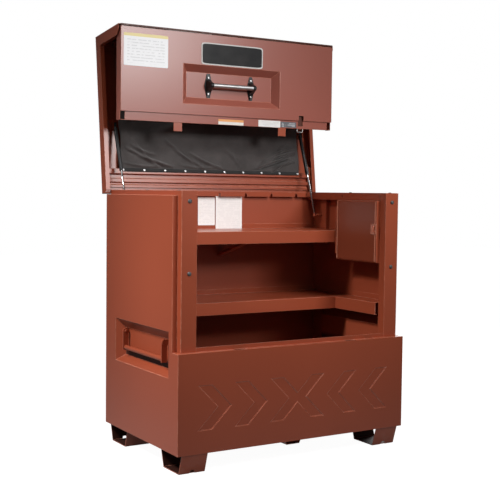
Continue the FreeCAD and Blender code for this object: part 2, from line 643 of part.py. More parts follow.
# Shelves and the small locker
def shelf(name, top, low, high):
    """Shelf sheet with a hemmed lip in front and a turn-up at the back."""
    wall = BACK + " - metal"
    outline = [("shelfFrontY", top), (wall + " - metal", top), (wall + " - metal", top + " + shelfRise"),
               (wall, top + " + shelfRise"), (wall, top + " - metal"), ("shelfFrontY + metal", top + " - metal"),
               ("shelfFrontY + metal", top + " - shelfLip + metal"),
               ("shelfFrontY + shelfHem", top + " - shelfLip + metal"),
               ("shelfFrontY + shelfHem", top + " - shelfLip"), ("shelfFrontY", top + " - shelfLip")]
    return prism(name, "YZ", [outline], low, high)


def side_shelf():
    top = "lowerShelfTop"
    outline = [("nookX", top), (INNER + " - metal", top), (INNER + " - metal", top + " + shelfRise"),
               (INNER, top + " + shelfRise"), (INNER, top + " - metal"), ("nookX + metal", top + " - metal"),
               ("nookX + metal", top + " - shelfLip + metal"),
               ("nookX + shelfHem", top + " - shelfLip + metal"),
               ("nookX + shelfHem", top + " - shelfLip"), ("nookX", top + " - shelfLip")]
    return prism("side_shelf", "XZ", [outline], POST_BACK, "shelfFrontY")


def shelf_brace():
    rear = BACK + " - metal"
    front = "shelfFrontY + metal"
    low = "upperShelfTop - braceDrop"
    high = "upperShelfTop - metal - 2 * braceTall"
    outline = [(rear, low), (rear, low + " + braceTall"), (front, high + " + braceTall"), (front, high)]
    return prism("shelf_brace", "YZ", [outline], "braceX - braceWidth / 2", "braceX + braceWidth / 2")


def upright():
    """Channel up the side wall, with a stud whose end stops just short of the gas spring's eye."""
    wall = "-" + INNER
    face = "-" + STANDARD_X
    back = "standardFront + standardWidth"
    outline = [(wall, "standardFront"), (face, "standardFront"), (face, back), (wall, back),
               (wall, back + " - metal"), (face + " - metal", back + " - metal"),
               (face + " - metal", "standardFront + metal"), (wall, "standardFront + metal")]
    channel = prism("upright_channel", "XY", [outline], "standardLow", "bodyTop - railHeight")
    stud = bar("upright_stud", "studShoulder", STANDARD_X + " - springX - springEyeWidth / 2 - studGap",
               (face, "springLowY", "springLowZ"), "x")
    return fused("spring_upright", [channel, stud])


def locker():
    """Small welded box on the right wall, with a frame round its opening and the hasp's staple."""
    shell = block("locker_shell", ("nookX", NOOK_FRONT, "nookLow"), (INNER, NOOK_BACK, "nookTop"))
    inside = block("locker_inside", ("nookX + metal", NOOK_FRONT + " + metal", "nookLow + metal"),
                   (INNER, NOOK_BACK + " - metal", "nookTop - metal"))
    opening = block("locker_opening", ("nookX", NOOK_FRONT + " + nookFrame", "nookLow + nookFrame"),
                    ("nookX + metal", NOOK_BACK + " - nookFrame", "nookTop - nookFrame"))
    near = STAPLE_Y + " - haspWire"
    reach = "(haspRing + haspWire)"
    disc = bar("staple_disc", reach, "2 * haspWire", ("nookX", near, "haspZ"), "y")
    hole = bar("staple_hole", "haspRing - haspWire", "2 * haspWire", ("nookX", near, "haspZ"), "y")
    half = block("staple_half", ("nookX", near, "haspZ - " + reach),
                 ("nookX + " + reach, near + " + 2 * haspWire", "haspZ + " + reach))
    ring = less("locker_ring", disc, fused("staple_tools", [hole, half]))
    frame = less("locker_frame", shell, fused("locker_hollow", [inside, opening]))
    return fused("locker_box", [frame, ring])


def locker_knuckles(own, tab_low, tab_high, turn):
    """Every other knuckle of the locker's hinge, each with its tab."""
    pieces = []
    rows = spans("nookKnuckles", "nookLow + nookHingeEnd", "nookTop - nookHingeEnd", "hingeGap")
    for i, (low, high) in enumerate(rows):
        if i % 2 == turn:
            pieces.append(bar(own + "_knuckle%d" % i, "nookHingeRadius", "(%s) - (%s)" % (high, low),
                              (NOOK_AXIS_X, NOOK_AXIS_Y, low), "z"))
            pieces.append(block(own + "_tab%d" % i, (tab_low[0], tab_low[1], low),
                                (tab_high[0], tab_high[1], high)))
    return pieces


def locker_bore(name):
    return bar(name, "nookHingePin + boltGap", "nookTop - nookLow", (NOOK_AXIS_X, NOOK_AXIS_Y, "nookLow"), "z")


def locker_leaf():
    tab_low = (NOOK_AXIS_X + " + nookHingePin", NOOK_AXIS_Y + " + nookHingePin")
    tab_high = ("nookX", NOOK_AXIS_Y + " + nookHingeRadius")
    knuckles = fused("leaf_knuckles", locker_knuckles("leaf", tab_low, tab_high, 0))
    drilled = less("leaf_drilled", knuckles, locker_bore("leaf_bore"))
    pin = bar("locker_pin", "nookHingePin", "nookTop - nookLow - 2 * nookHingeEnd",
              (NOOK_AXIS_X, NOOK_AXIS_Y, "nookLow + nookHingeEnd"), "z")
    return drilled, pin


def locker_door():
    """Flat door with hems on its upright edges and the middle knuckle of its hinge."""
    back = "nookX - nookDoorGap"
    face = "nookX - nookDoorGap - metal"
    low = NOOK_FRONT + " + hingeSlot"
    high = NOOK_AXIS_Y + " - nookHingeRadius - hingeGap"
    leaf = block("locker_sheet", (face, low, "nookLow + nookFrame / 2"), (back, high, "nookTop - nookFrame / 2"))
    hem_front = block("locker_hem_front", (face + " - metal", low, "nookLow + nookFrame / 2"),
                      (face, low + " + hemWidth", "nookTop - nookFrame / 2"))
    hem_back = block("locker_hem_back", (face + " - metal", high + " - hemWidth", "nookLow + nookFrame / 2"),
                     (face, high, "nookTop - nookFrame / 2"))
    knuckles = locker_knuckles("locker_door", (face, high), (back, NOOK_AXIS_Y), 1)
    whole = fused("locker_door_sheet", [leaf, hem_front, hem_back] + knuckles)
    slot = block("locker_door_slot",
                 (face + " - metal", STAPLE_Y + " - haspWire - haspGap", "haspZ - haspRing - haspWire - haspGap"),
                 (back, STAPLE_Y + " + haspWire + haspGap", "haspZ + haspRing + haspWire + haspGap"))
    return less("locker_door", whole, fused("locker_door_tools", [locker_bore("locker_door_bore"), slot]))


def hasp():
    """Slotted strap on the locker's door, over the staple."""
    outer = "nookX - nookDoorGap - 2 * metal"
    body = new_body("locker_hasp")
    strap = rectangle(NOOK_FRONT + " - hemWidth", NOOK_FRONT + " - hemWidth + haspLength",
                      "haspZ - haspHalf - metal", "haspZ + haspHalf + metal")
    add(body, "YZ", [strap], outer + " - metal", outer)
    slot = rectangle(STAPLE_Y + " - haspWire - haspGap", STAPLE_Y + " + haspWire + haspGap",
                     "haspZ - haspRing - haspWire - haspGap", "haspZ + haspRing + haspWire + haspGap")
    cut(body, "YZ", [slot], outer + " - metal", outer)
    return body


# Handles on the sides
def dish(name, mouth, runs, face, depth):
    """Hollow and outside of a pressed recess, its depth along +Y from the face."""
    low_u, high_u, low_v, high_v = mouth
    grow = "pressGrow"
    deep = ["%s * (1 + metal / (%s))" % (run, depth) for run in runs]
    floor = (low_u + " + " + runs[0], high_u + " - " + runs[1],
             low_v + " + " + runs[2], high_v + " - " + runs[3])
    wide = (low_u + " - " + grow, high_u + " + " + grow, low_v + " - " + grow, high_v + " + " + grow)
    under = (low_u + " - " + grow + " + " + deep[0], high_u + " + " + grow + " - " + deep[1],
             low_v + " - " + grow + " + " + deep[2], high_v + " + " + grow + " - " + deep[3])
    hollow = frustum(name + "_hollow", mouth, floor, (face, face + " + " + depth))
    outside = frustum(name + "_outside", wide, under, (face, face + " + metal + " + depth))
    return hollow, outside


def handle_pan():
    """Sloped pocket in the left side, with a flange behind the sheet."""
    mouth = ("-pocketY - pocketLength / 2", "-pocketY + pocketLength / 2", "pocketLow", "pocketLow + pocketHeight")
    runs = ("pocketRun", "pocketRun", "pocketRunLow", "pocketRunTop")
    hollow, outside = dish("pan", mouth, runs, "-" + INNER, "pocketDepth")
    for wedge in (hollow, outside):
        wedge.Placement = FreeCAD.Placement(FreeCAD.Vector(), FreeCAD.Rotation(FreeCAD.Vector(0, 0, 1), -90))
    reach = "pocketLength / 2 + pocketFlange"
    flange = block("pan_flange", ("-" + INNER, "pocketY - (%s)" % reach, "pocketLow - pocketFlange"),
                   ("-" + INNER + " + metal", "pocketY + " + reach, "pocketLow + pocketHeight + pocketFlange"))
    return less("handle_pan", fused("pan_sheet", [flange, outside]), hollow)


def handle_ears():
    """Two ears on the pocket's floor, each with the bolt that carries a leg of the handle."""
    pair = []
    for side in (-1, 1):
        leg = "(pocketY + %d * (bailHalf + bailThick / 2 + earGap))" % side
        far = "(pocketY + %d * (bailHalf + bailThick / 2 + earGap + earThick))" % side
        near, wide = (leg, far) if side > 0 else (far, leg)
        strap = block("ear_strap%d" % side, ("-" + BAIL_X, near, "bailPivotZ - earHalf"),
                      ("-" + POCKET_FLOOR, wide, "bailPivotZ + earHalf"))
        tip = bar("ear_tip%d" % side, "earHalf", "earThick", ("-" + BAIL_X, near, "bailPivotZ"), "y")
        inside = "(pocketY + %d * (bailHalf - bailThick / 2 - earGap))" % side
        bolt = bar("ear_bolt%d" % side, "boltRadius", "bailThick + 2 * earGap + earThick",
                   ("-" + BAIL_X, inside if side > 0 else far, "bailPivotZ"), "y")
        pair.append(fused("ear%d" % side, [strap, tip, bolt]))
    return group("handle_ears", pair)


def bail():
    """Lifting handle: a round bar between two flat legs."""
    pieces = []
    for side in (-1, 1):
        low = "pocketY + %d * bailHalf - bailThick / 2" % side
        high = "pocketY + %d * bailHalf + bailThick / 2" % side
        pieces.append(block("leg%d" % side, ("-" + BAIL_X + " - bailLeg", low, "bailPivotZ - bailDrop - bailLeg"),
                            ("-" + BAIL_X + " + bailLeg", high, "bailPivotZ")))
        pieces.append(bar("leg_top%d" % side, "bailLeg", "bailThick", ("-" + BAIL_X, low, "bailPivotZ"), "y"))
    pieces.append(bar("grip", "bailBar", "2 * bailHalf",
                      ("-" + BAIL_X, "pocketY - bailHalf", "bailPivotZ - bailDrop"), "y"))
    bore = bar("bail_bore", "boltRadius + boltGap", "2 * bailHalf + 2 * bailThick",
               ("-" + BAIL_X, "pocketY - bailHalf - bailThick", "bailPivotZ"), "y")
    return less("side_handle", fused("bail_bar", pieces), bore)


# Hinges
def hinge_half(name, count, turn, ends, axis, radius, leaf, tab, bore):
    """Leaf, tabs and every other knuckle of a long hinge; a bore leaves room for the pin."""
    low, high = ends
    axis_y, axis_z = axis
    pieces = [block(name + "_leaf", (low, leaf[0], leaf[1]), (high, leaf[2], leaf[3]))]
    for i, (start, stop) in enumerate(spans(count, low, high, "hingeGap")):
        if i % 2 == turn:
            pieces.append(bar(name + "_knuckle%d" % i, radius, "(%s) - (%s)" % (stop, start),
                              (start, axis_y, axis_z), "x"))
            pieces.append(block(name + "_tab%d" % i, (start, tab[0], tab[1]), (stop, tab[2], tab[3])))
    whole = fused(name + "_sheet", pieces)
    if bore:
        hole = bar(name + "_bore", "hingePin + boltGap", "(%s) - (%s)" % (high, low), (low, axis_y, axis_z), "x")
        return less(name, whole, hole)
    pin = bar(name + "_pin", "hingePin", "(%s) - (%s)" % (high, low), (low, axis_y, axis_z), "x")
    return fused(name, [whole, pin])


def lid_hinge_body():
    leaf = (BACK, HINGE_Z + " - hingeLeafWidth", BACK + " + hingeLeaf", HINGE_Z + " - hingeRadius - hingeSlot")
    tab = (BACK, leaf[3], HINGE_Y + " - hingePin", HINGE_Z)
    return hinge_half("lid_hinge_body", "knuckles", 0, ("-" + JOG_X, JOG_X), (HINGE_Y, HINGE_Z),
                      "hingeRadius", leaf, tab, False)


def lid_hinge_lid():
    wall = LID_REAR + " - metal"
    leaf = (wall + " - hingeLeaf", HINGE_Z + " + hingeRadius + hingeSlot", wall, LID_TOP + " - metal")
    tab = (HINGE_Y + " + hingePin + boltGap", HINGE_Z, wall, leaf[1])
    return hinge_half("lid_hinge_lid", "knuckles", 1, ("-" + JOG_X, JOG_X), (HINGE_Y, HINGE_Z),
                      "hingeRadius", leaf, tab, True)


def door_hinge_lid():
    wall = LID_FRONT + " + metal"
    leaf = (wall, FACET_END, wall + " + hingeLeaf", PIVOT_Z + " + doorLeafWidth")
    tab = (wall, PIVOT_Z, PIVOT_Y + " - hingePin / 2", FACET_END)
    return hinge_half("door_hinge_lid", "doorKnuckles", 0, ("-" + DOOR_HALF, DOOR_HALF), (PIVOT_Y, PIVOT_Z),
                      "doorHingeRadius", leaf, tab, False)


def door_hinge_door():
    leaf = (LID_FRONT + " + metal", DOOR_TOP, LID_FRONT + " + doorReturn", DOOR_TOP + " + hingeLeaf")
    tab = (PIVOT_Y + " - hingePin", leaf[3], PIVOT_Y + " + hingePin", PIVOT_Z + " - hingePin - boltGap")
    return hinge_half("door_hinge_door", "doorKnuckles", 1, ("-" + DOOR_HALF, DOOR_HALF),
                      (PIVOT_Y, PIVOT_Z), "doorHingeRadius", leaf, tab, True)


# The lid
def lid_shell():
    """Top and facet in one bent sheet, with skirts and lips at the two ends."""
    body = new_body("lid_shell")
    rear_low = SKIRT_Z + " + rearChamfer"
    inside = LID_REAR + " - metal"
    under = LID_TOP + " - metal"
    behind = LID_FRONT + " + metal"
    bent = [(LID_FRONT, FACET_END), (LID_FRONT, LID_TOP), (LID_REAR, LID_TOP), (LID_REAR, rear_low),
            (inside, rear_low), (inside, under), (behind, under), (behind, FACET_END)]
    add(body, "YZ", [bent], "-" + LID_HALF, LID_HALF)
    skirt = [(LID_FRONT, FACET_END), (LID_FRONT, LID_TOP), (LID_REAR, LID_TOP), (LID_REAR, rear_low),
             (LID_REAR + " - rearChamfer", SKIRT_Z), (SKIRT_Y, SKIRT_Z),
             (SKIRT_Y, FACET_END + " + skirtDepth - skirtEnd"), (LID_FRONT + " + skirtEnd", FACET_END)]
    lip = [(SKIRT_Y + " - metal", PIVOT_Z + " + lipStop"), (SKIRT_Y, PIVOT_Z + " + lipStop"),
           (SKIRT_Y, SKIRT_Z), (LID_REAR + " - rearChamfer", SKIRT_Z),
           (LID_REAR + " - rearChamfer", SKIRT_Z + " + metal"), (SKIRT_Y + " - metal", SKIRT_Z + " + metal")]
    add(body, "YZ", [skirt], "-" + LID_HALF, "-" + LID_HALF + " + metal")
    add(body, "YZ", [skirt], LID_HALF + " - metal", LID_HALF)
    add(body, "YZ", [lip], "-" + LID_HALF + " + metal", "-" + LID_HALF + " + metal + skirtLip")
    add(body, "YZ", [lip], LID_HALF + " - metal - skirtLip", LID_HALF + " - metal")
    return body


def lid_beam():
    """Folded rail with two grooves under the rear of the lid."""
    folds = [("beamFold", "beamDepth", "-"), ("beamSlant", "beamWeb", "-"), ("beamGroove", "beamWeb", "+"),
             ("beamSlant", "beamStep", "+"), ("beamRidge", "beamStep", "-"), ("beamSlant", "beamWeb", "-"),
             ("beamGap", "beamWeb", "+"), ("beamSlant", "beamLow", "+")]
    width = "(beamFront - beamRear)"
    along = "0"
    outer = [("0", "0"), ("0", "beamDepth")]
    inner = [("metal", "0"), ("metal", "beamDepth - metal")]
    for run, down, sign in folds:
        along += " + " + run
        outer.append((along, down))
        inner.append((along + " " + sign + " metal", down + " - metal"))
    outer += [(width, "beamLow"), (width, "0")]
    inner += [(width + " - metal", "beamLow - metal"), (width + " - metal", "0")]
    corners = outer + inner[::-1]
    outline = [(BEAM_Y + " + " + place, LID_TOP + " - metal - (%s)" % down) for place, down in corners]
    return prism("lid_beam", "YZ", [outline], "-beamHalf", "beamHalf")


def liner_rail():
    """Square tube along the liner's front edge."""
    front = "-linerFront - railTube"
    top = LID_TOP + " - metal"
    hollow = rectangle(front + " + metal", "-linerFront - metal", top + " - railTube + metal", top + " - metal")
    body = prism("liner_rail", "YZ", [rectangle(front, "-linerFront", top + " - railTube", top)],
                 "-tubeHalf", "tubeHalf")
    cut(body, "YZ", [hollow], "-tubeHalf", "tubeHalf")
    return body


def liner():
    front = "-linerFront - railTube"
    return prism("fabric_liner", "XY", [rectangle("-linerHalf", "linerHalf", front, BEAM_Y + " + linerLap")],
                 BEAM_Z + " - linerThick", BEAM_Z)


def gusset():
    """Folded brace in the corner between the lid's top and its skirt."""
    start = HINGE_Y + " - gussetFront"
    stop = HINGE_Y + " - gussetRear"
    top = LID_TOP + " - metal"
    outer = "-" + LID_HALF + " + metal"
    web = outer + " + gussetWidth"
    body = new_body("lid_gusset")
    side = [(start, top), (start + " + gussetSlope", top + " - gussetDepth"), (stop + " - gussetSlope", top + " - gussetDepth"),
            (stop, top)]
    add(body, "YZ", [side], web + " - metal", web)
    flange = rectangle(start + " + gussetSlope", stop + " - gussetSlope", top + " - gussetDepth", top + " - gussetDepth + metal")
    add(body, "YZ", [flange], outer, web)
    return body


def stay(q_y, q_z):
    """Bracket under the lid with the stud of a gas spring."""
    plate = "-" + STAY_X
    top = LID_TOP + " - metal"
    web = block("stay_web", (plate + " - stayPlate", q_y + " - stayHalf", q_z + " - springEye"),
                (plate, q_y + " + stayHalf", top))
    foot_plate = block("stay_foot", (plate + " - stayHalf", q_y + " - stayHalf", top + " - stayPlate"),
                       (plate, q_y + " + stayHalf", top))
    stud = bar("stay_stud", "studRadius", STAY_X + " - springX + springEyeWidth / 2 + studGap",
               (plate, q_y, q_z), "x")
    return fused("spring_stay", [web, foot_plate, stud])


# The door
def door_shell():
    """Door sheet with its handle recess, lower channel, side flanges and slots."""
    body = new_body("door_sheet")
    rear = LID_FRONT + " + doorReturn"
    skin = LID_FRONT + " + metal"
    channel = STRIP_Y + " + metal"
    outline = [(rear, DOOR_TOP), (LID_FRONT, DOOR_TOP), (LID_FRONT, STRIP_TOP), (STRIP_Y, STRIP_TOP),
               (STRIP_Y, DOOR_LOW), (rear, DOOR_LOW), (rear, DOOR_LOW + " + metal"),
               (channel, DOOR_LOW + " + metal"), (channel, STRIP_TOP + " + metal"),
               (skin, STRIP_TOP + " + metal"), (skin, DOOR_TOP + " - metal"), (rear, DOOR_TOP + " - metal")]
    add(body, "YZ", [outline], "-" + DOOR_HALF, DOOR_HALF)
    side = [(LID_FRONT, STRIP_TOP), (LID_FRONT, DOOR_TOP), (LID_FRONT + " + doorSide", DOOR_TOP),
            (LID_FRONT + " + doorSide", DOOR_LOW), (channel, DOOR_LOW), (channel, STRIP_TOP)]
    add(body, "YZ", [side], "-" + DOOR_HALF, "-" + DOOR_HALF + " + metal")
    add(body, "YZ", [side], DOOR_HALF + " - metal", DOOR_HALF)
    ends = [rectangle("-" + DOOR_HALF, "-" + DOOR_HALF + " + stripNotch", DOOR_LOW, STRIP_TOP),
            rectangle(DOOR_HALF + " - stripNotch", DOOR_HALF, DOOR_LOW, STRIP_TOP)]
    cut(body, "XZ", ends, LID_FRONT, channel)
    slot = rectangle("lockX - lockHalf", "lockX + lockHalf", DOOR_LOW + " + lockLow",
                     DOOR_LOW + " + lockLow + lockTall")
    cut(body, "XZ", [slot], LID_FRONT, channel)
    notches = [rectangle("%d * tabX - tabHalf" % side, "%d * tabX + tabHalf" % side, channel, rear)
               for side in (-1, 1)]
    notches += [rectangle("lockX + %d * stapleHalf - stapleThick" % side,
                          "lockX + %d * stapleHalf + stapleThick" % side, channel, rear) for side in (-1, 1)]
    cut(body, "XY", notches, DOOR_LOW, DOOR_LOW + " + metal")
    mouth = ("-panHalf", "panHalf", PAN_LOW, PAN_LOW + " + panHeight")
    hollow, outside = dish("recess", mouth, ("panRun",) * 4, LID_FRONT, "panDepth")
    return less("door_shell", fused("door_pressed", [body, outside]), hollow)


def grip_brackets():
    """Two black brackets on the recess's floor that hold the handle's bar."""
    pair = []
    axis_y = LID_FRONT + " - gripOut"
    for side in (-1, 1):
        place = "%d * gripHalf" % side
        plate = new_body("bracket_plate")
        outline = [(place + " - gripWide / 2", PAN_MID), (place + " - gripEnd / 2", PAN_MID + " - gripTall / 2"),
                   (place + " + gripEnd / 2", PAN_MID + " - gripTall / 2"), (place + " + gripWide / 2", PAN_MID),
                   (place + " + gripEnd / 2", PAN_MID + " + gripTall / 2"),
                   (place + " - gripEnd / 2", PAN_MID + " + gripTall / 2")]
        add(plate, "XZ", [outline], PAN_FLOOR + " - gripPlate", PAN_FLOOR)
        tip = (place + " - armWide / 2", place + " + armWide / 2",
               PAN_MID + " - armTall / 2", PAN_MID + " + armTall / 2")
        root = (place + " - armFootWide / 2", place + " + armFootWide / 2",
                PAN_MID + " - armFootTall / 2", PAN_MID + " + armFootTall / 2")
        arm = frustum("bracket_arm", tip, root, (axis_y, PAN_FLOOR + " - gripPlate"))
        ring = bar("bracket_ring", "gripRadius + ringWall", "armWide",
                   (place + " - armWide / 2", axis_y, PAN_MID), "x")
        pair.append(fused("bracket", [plate, arm, ring]))
    return less("grip_brackets", group("brackets", pair), grip("bracket_bore", "gripRadius + boltGap"))


def grip(name, radius):
    """The handle's bar, or with a larger radius the bore for it."""
    return bar(name, radius, "2 * (gripHalf + gripOverhang)",
               ("-gripHalf - gripOverhang", LID_FRONT + " - gripOut", PAN_MID), "x")


def catch_tabs():
    """Two tabs behind the door's lower channel that drop into the ledge."""
    near = STRIP_Y + " + metal"
    pieces = [block("tab", ("%d * tabX - tabHalf" % side, near, DOOR_LOW + " - tabDrop"),
                    ("%d * tabX + tabHalf" % side, near + " + tabThick", STRIP_TOP)) for side in (-1, 1)]
    return group("catch_tabs", pieces)


def lock_pocket():
    low = DOOR_LOW + " + lockLow"
    high = low + " + lockTall"
    near = STRIP_Y + " + metal"
    rear = LID_FRONT + " + metal + lockDepth"
    upper = block("lock_upper", ("lockX - lockHalf - metal", LID_FRONT + " + metal", STRIP_TOP + " + metal"),
                  ("lockX + lockHalf + metal", rear + " + metal", high + " + metal"))
    lower = block("lock_lower", ("lockX - lockHalf - metal", near, low + " - metal"),
                  ("lockX + lockHalf + metal", rear + " + metal", STRIP_TOP + " + metal"))
    hollow = block("lock_hollow", ("lockX - lockHalf", LID_FRONT, low), ("lockX + lockHalf", rear, high))
    return less("lock_pocket", fused("lock_box", [upper, lower]), hollow)


def lock_staple():
    """Square bar bent to a U below the door's lock."""
    near = STRIP_Y + " + metal"
    far = near + " + 2 * stapleThick"
    low = DOOR_LOW + " - stapleDrop - stapleThick"
    outer = block("staple_outside", ("lockX - stapleHalf - stapleThick", near, low),
                  ("lockX + stapleHalf + stapleThick", far, DOOR_LOW + " + lockLow - metal"))
    inner = block("staple_inside", ("lockX - stapleHalf + stapleThick", near, low + " + 2 * stapleThick"),
                  ("lockX + stapleHalf - stapleThick", far, DOOR_LOW + " + lockLow - metal"))
    return less("lock_staple", outer, inner)


# Gas springs
SPRING_TURN = "-atan((springHighY - springLowY) / (springHighZ - springLowZ)) / 1deg"


def spring_place(piece, y, z):
    """Turn a spring's half to the line between its two studs and move it to one of them."""
    piece.Placement.Rotation.Axis = FreeCAD.Vector(1, 0, 0)
    bind(piece, "Placement.Rotation.Angle", SPRING_TURN)
    bind(piece, "Placement.Base.x", "-springX")
    bind(piece, "Placement.Base.y", "centreY + " + y)
    bind(piece, "Placement.Base.z", z)


def spring_cylinder():
    """Cylinder with its upper eye; the rod slides in a long bore."""
    low = "-springNeck - springTubeLength"
    eye = bar("cylinder_eye", "springEye", "springEyeWidth", ("-springEyeWidth / 2", "0", "0"), "x")
    tube = bar("cylinder_tube", "springTube", "springTubeLength", ("0", "0", low), "z")
    neck = bar("cylinder_neck", "springRod", "springNeck", ("0", "0", "-springNeck"), "z")
    hole = bar("cylinder_hole", "studRadius + boltGap", "springEyeWidth", ("-springEyeWidth / 2", "0", "0"), "x")
    bore = bar("cylinder_bore", "springRod + boltGap", "springTubeLength - springCap", ("0", "0", low), "z")
    return less("spring_cylinder", fused("cylinder_outside", [eye, tube, neck]),
                fused("cylinder_tools", [hole, bore]))


def spring_rod():
    eye = bar("rod_eye", "springEye", "springEyeWidth", ("-springEyeWidth / 2", "0", "0"), "x")
    return fused("spring_rod", [eye, bar("rod_bar", "springRod", "springRodLength", ("0", "0", "0"), "z")])


# The whole box
keep_pair("side_panel", side_panel())
keep("back_panel", back_panel())
keep("floor_pan", prism("floor_pan", "XY", [rectangle("-" + INNER, INNER, FRONT + " + metal", BACK + " - metal")],
                        "footHeight", FLOOR))
keep("front_panel", front_panel())
keep_pair("front_post", front_post())
keep("rear_top_rail", rear_rail())
keep_pair("side_rail", side_rail())
keep_pair("foot_front", foot("foot"))
for side in ("left", "right"):
    source = [node for node in nodes if node.Label == "foot_front_" + side][0]
    nodes.append(mirrored("foot_rear_" + side, source, (0, 1, 0)))
    nodes[-1].Label = "foot_rear_" + side
keep("floor_channel", floor_channel())
keep("upper_shelf", shelf("upper_shelf", "upperShelfTop", "-" + SHELF_END, SHELF_END))
keep("lower_shelf", shelf("lower_shelf", "lowerShelfTop", "-" + INNER, INNER))
keep("side_shelf", side_shelf())
keep("shelf_brace", shelf_brace())
keep_pair("spring_upright", upright())
keep("locker_box", locker())
keep("locker_hinge", group("locker_hinge", list(locker_leaf())))
keep_pair("handle_pan", handle_pan())
keep_pair("handle_ears", handle_ears())
keep("lid_hinge_body", lid_hinge_body())

keep("lid_shell", lid_shell(), "lid")
keep("lid_beam", lid_beam(), "lid")
keep("lid_hinge_lid", lid_hinge_lid(), "lid")
keep("door_hinge_lid", door_hinge_lid(), "lid")
keep("fabric_liner", liner(), "lid")
keep("liner_rail", liner_rail(), "lid")
keep_pair("lid_gusset", gusset(), "lid")
STAY_Y, STAY_Z = shut("springHighY", "springHighZ")
keep_pair("spring_stay", stay(STAY_Y, STAY_Z), "lid")

keep("door_shell", door_shell(), "door")
keep("door_hinge_door", door_hinge_door(), "door")
keep("grip_brackets", grip_brackets(), "door")
keep("grip_bar", group("grip", [grip("grip_tube", "gripRadius")]), "door")
keep("catch_tabs", catch_tabs(), "door")
keep("lock_pocket", lock_pocket(), "door")
keep("lock_staple", lock_staple(), "door")

cylinder = spring_cylinder()
spring_place(cylinder, "springHighY", "springHighZ")
keep_pair("spring_cylinder", cylinder, "spring")
rod = spring_rod()
spring_place(rod, "springLowY", "springLowZ")
keep_pair("spring_rod", rod, "spring")
keep_pair("side_handle", bail())
keep("locker_door", locker_door())
keep("locker_hasp", hasp())

doc.recompute()
for item in doc.Objects:
    if "Invalid" in item.State or "Error" in item.State:
        raise ValueError("%s did not compute: %s" % (item.Label, item.State))
for node in nodes:
    if node.Shape.isNull() or not node.Shape.isValid() or node.Shape.Volume <= 0:
        raise ValueError(node.Label + " has no sound shape")

os.makedirs("parts", exist_ok=True)
for node in nodes:
    node.Shape.exportStep("parts/%s.step" % node.Label)
    print(node.Label, len(node.Shape.Solids), node.Shape.BoundBox)
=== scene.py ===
import json
import math
import bpy
import bmesh
import numpy as np
from mathutils import Matrix, Vector

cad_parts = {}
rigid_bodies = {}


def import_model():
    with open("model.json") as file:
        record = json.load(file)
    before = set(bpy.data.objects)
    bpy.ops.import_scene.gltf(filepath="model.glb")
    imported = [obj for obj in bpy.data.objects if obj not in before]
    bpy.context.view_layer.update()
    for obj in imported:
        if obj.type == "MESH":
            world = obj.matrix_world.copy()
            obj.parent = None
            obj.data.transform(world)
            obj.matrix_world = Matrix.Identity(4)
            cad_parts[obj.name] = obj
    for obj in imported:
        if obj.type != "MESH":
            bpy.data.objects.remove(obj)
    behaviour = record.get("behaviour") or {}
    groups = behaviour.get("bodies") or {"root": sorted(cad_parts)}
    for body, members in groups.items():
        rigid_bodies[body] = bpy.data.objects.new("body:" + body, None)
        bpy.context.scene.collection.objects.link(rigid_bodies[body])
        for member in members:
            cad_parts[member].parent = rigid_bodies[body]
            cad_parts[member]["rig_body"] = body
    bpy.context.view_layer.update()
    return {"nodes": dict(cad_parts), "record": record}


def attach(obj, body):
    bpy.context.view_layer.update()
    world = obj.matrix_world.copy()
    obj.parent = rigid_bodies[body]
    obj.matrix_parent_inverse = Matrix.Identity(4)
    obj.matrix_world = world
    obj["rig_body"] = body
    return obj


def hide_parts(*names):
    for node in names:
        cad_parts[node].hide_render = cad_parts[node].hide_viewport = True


# A steel jobsite storage box, open: powder-coated sheet, a fabric-lined lid and a folding front door.

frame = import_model()
nodes = frame["nodes"]
print("frame loaded:", len(nodes), "nodes")

# Metres. "Shut" points are measured from the body's middle with the lid shut.
box = {
    "bodyY": -0.06653,           # the body's middle in the open box's frame
    "hinge": (0.385, 1.205),     # the lid's hinge, y and z
    "lidAngle": math.radians(96.7),
    "doorShift": (0.60137543841, 1.01486530536),     # from shut to open, y and z
    "doorFace": -0.372,          # fronts of the door and of the strip along its foot, shut
    "stripFace": -0.364,
    "postFace": -0.352,
    "backWall": 0.376,
}


# shading helpers: a short way to add nodes
def newMaterial(name):
    material = bpy.data.materials.new(name)
    material.use_nodes = True
    tree = material.node_tree
    tree.nodes.clear()
    out = tree.nodes.new("ShaderNodeOutputMaterial")
    shader = tree.nodes.new("ShaderNodeBsdfPrincipled")
    tree.links.new(shader.outputs[0], out.inputs["Surface"])
    return material, tree, shader


def feed(tree, node, sockets):
    # a socket takes a number, a colour or another node's output
    for key, value in sockets.items():
        if isinstance(value, bpy.types.NodeSocket):
            tree.links.new(value, node.inputs[key])
        else:
            node.inputs[key].default_value = value


def put(tree, kind, sockets=None, output=0, **settings):
    # one shader node; gives back the output asked for
    made = tree.nodes.new("ShaderNode" + kind)
    for key, value in settings.items():
        setattr(made, key, value)
    feed(tree, made, sockets or {})
    return made.outputs[output]


def noise(tree, place, scale, detail=2.0, rough=0.5):
    sockets = {"Vector": place, "Scale": scale, "Detail": detail, "Roughness": rough}
    return put(tree, "TexNoise", sockets, "Fac")


def spread(tree, value, low, high, to0, to1):
    # low to high becomes to0 to to1, and goes no further
    sockets = {"Value": value, "From Min": low, "From Max": high, "To Min": to0, "To Max": to1}
    return put(tree, "MapRange", sockets)


def blendColour(tree, share, a, b):
    return put(tree, "Mix", {0: share, 6: a, 7: b}, 2, data_type="RGBA")


def times(tree, a, b):
    return put(tree, "Math", {0: a, 1: b}, operation="MULTIPLY")


def bump(tree, height, strength, distance):
    return put(tree, "Bump", {"Height": height, "Strength": strength, "Distance": distance})


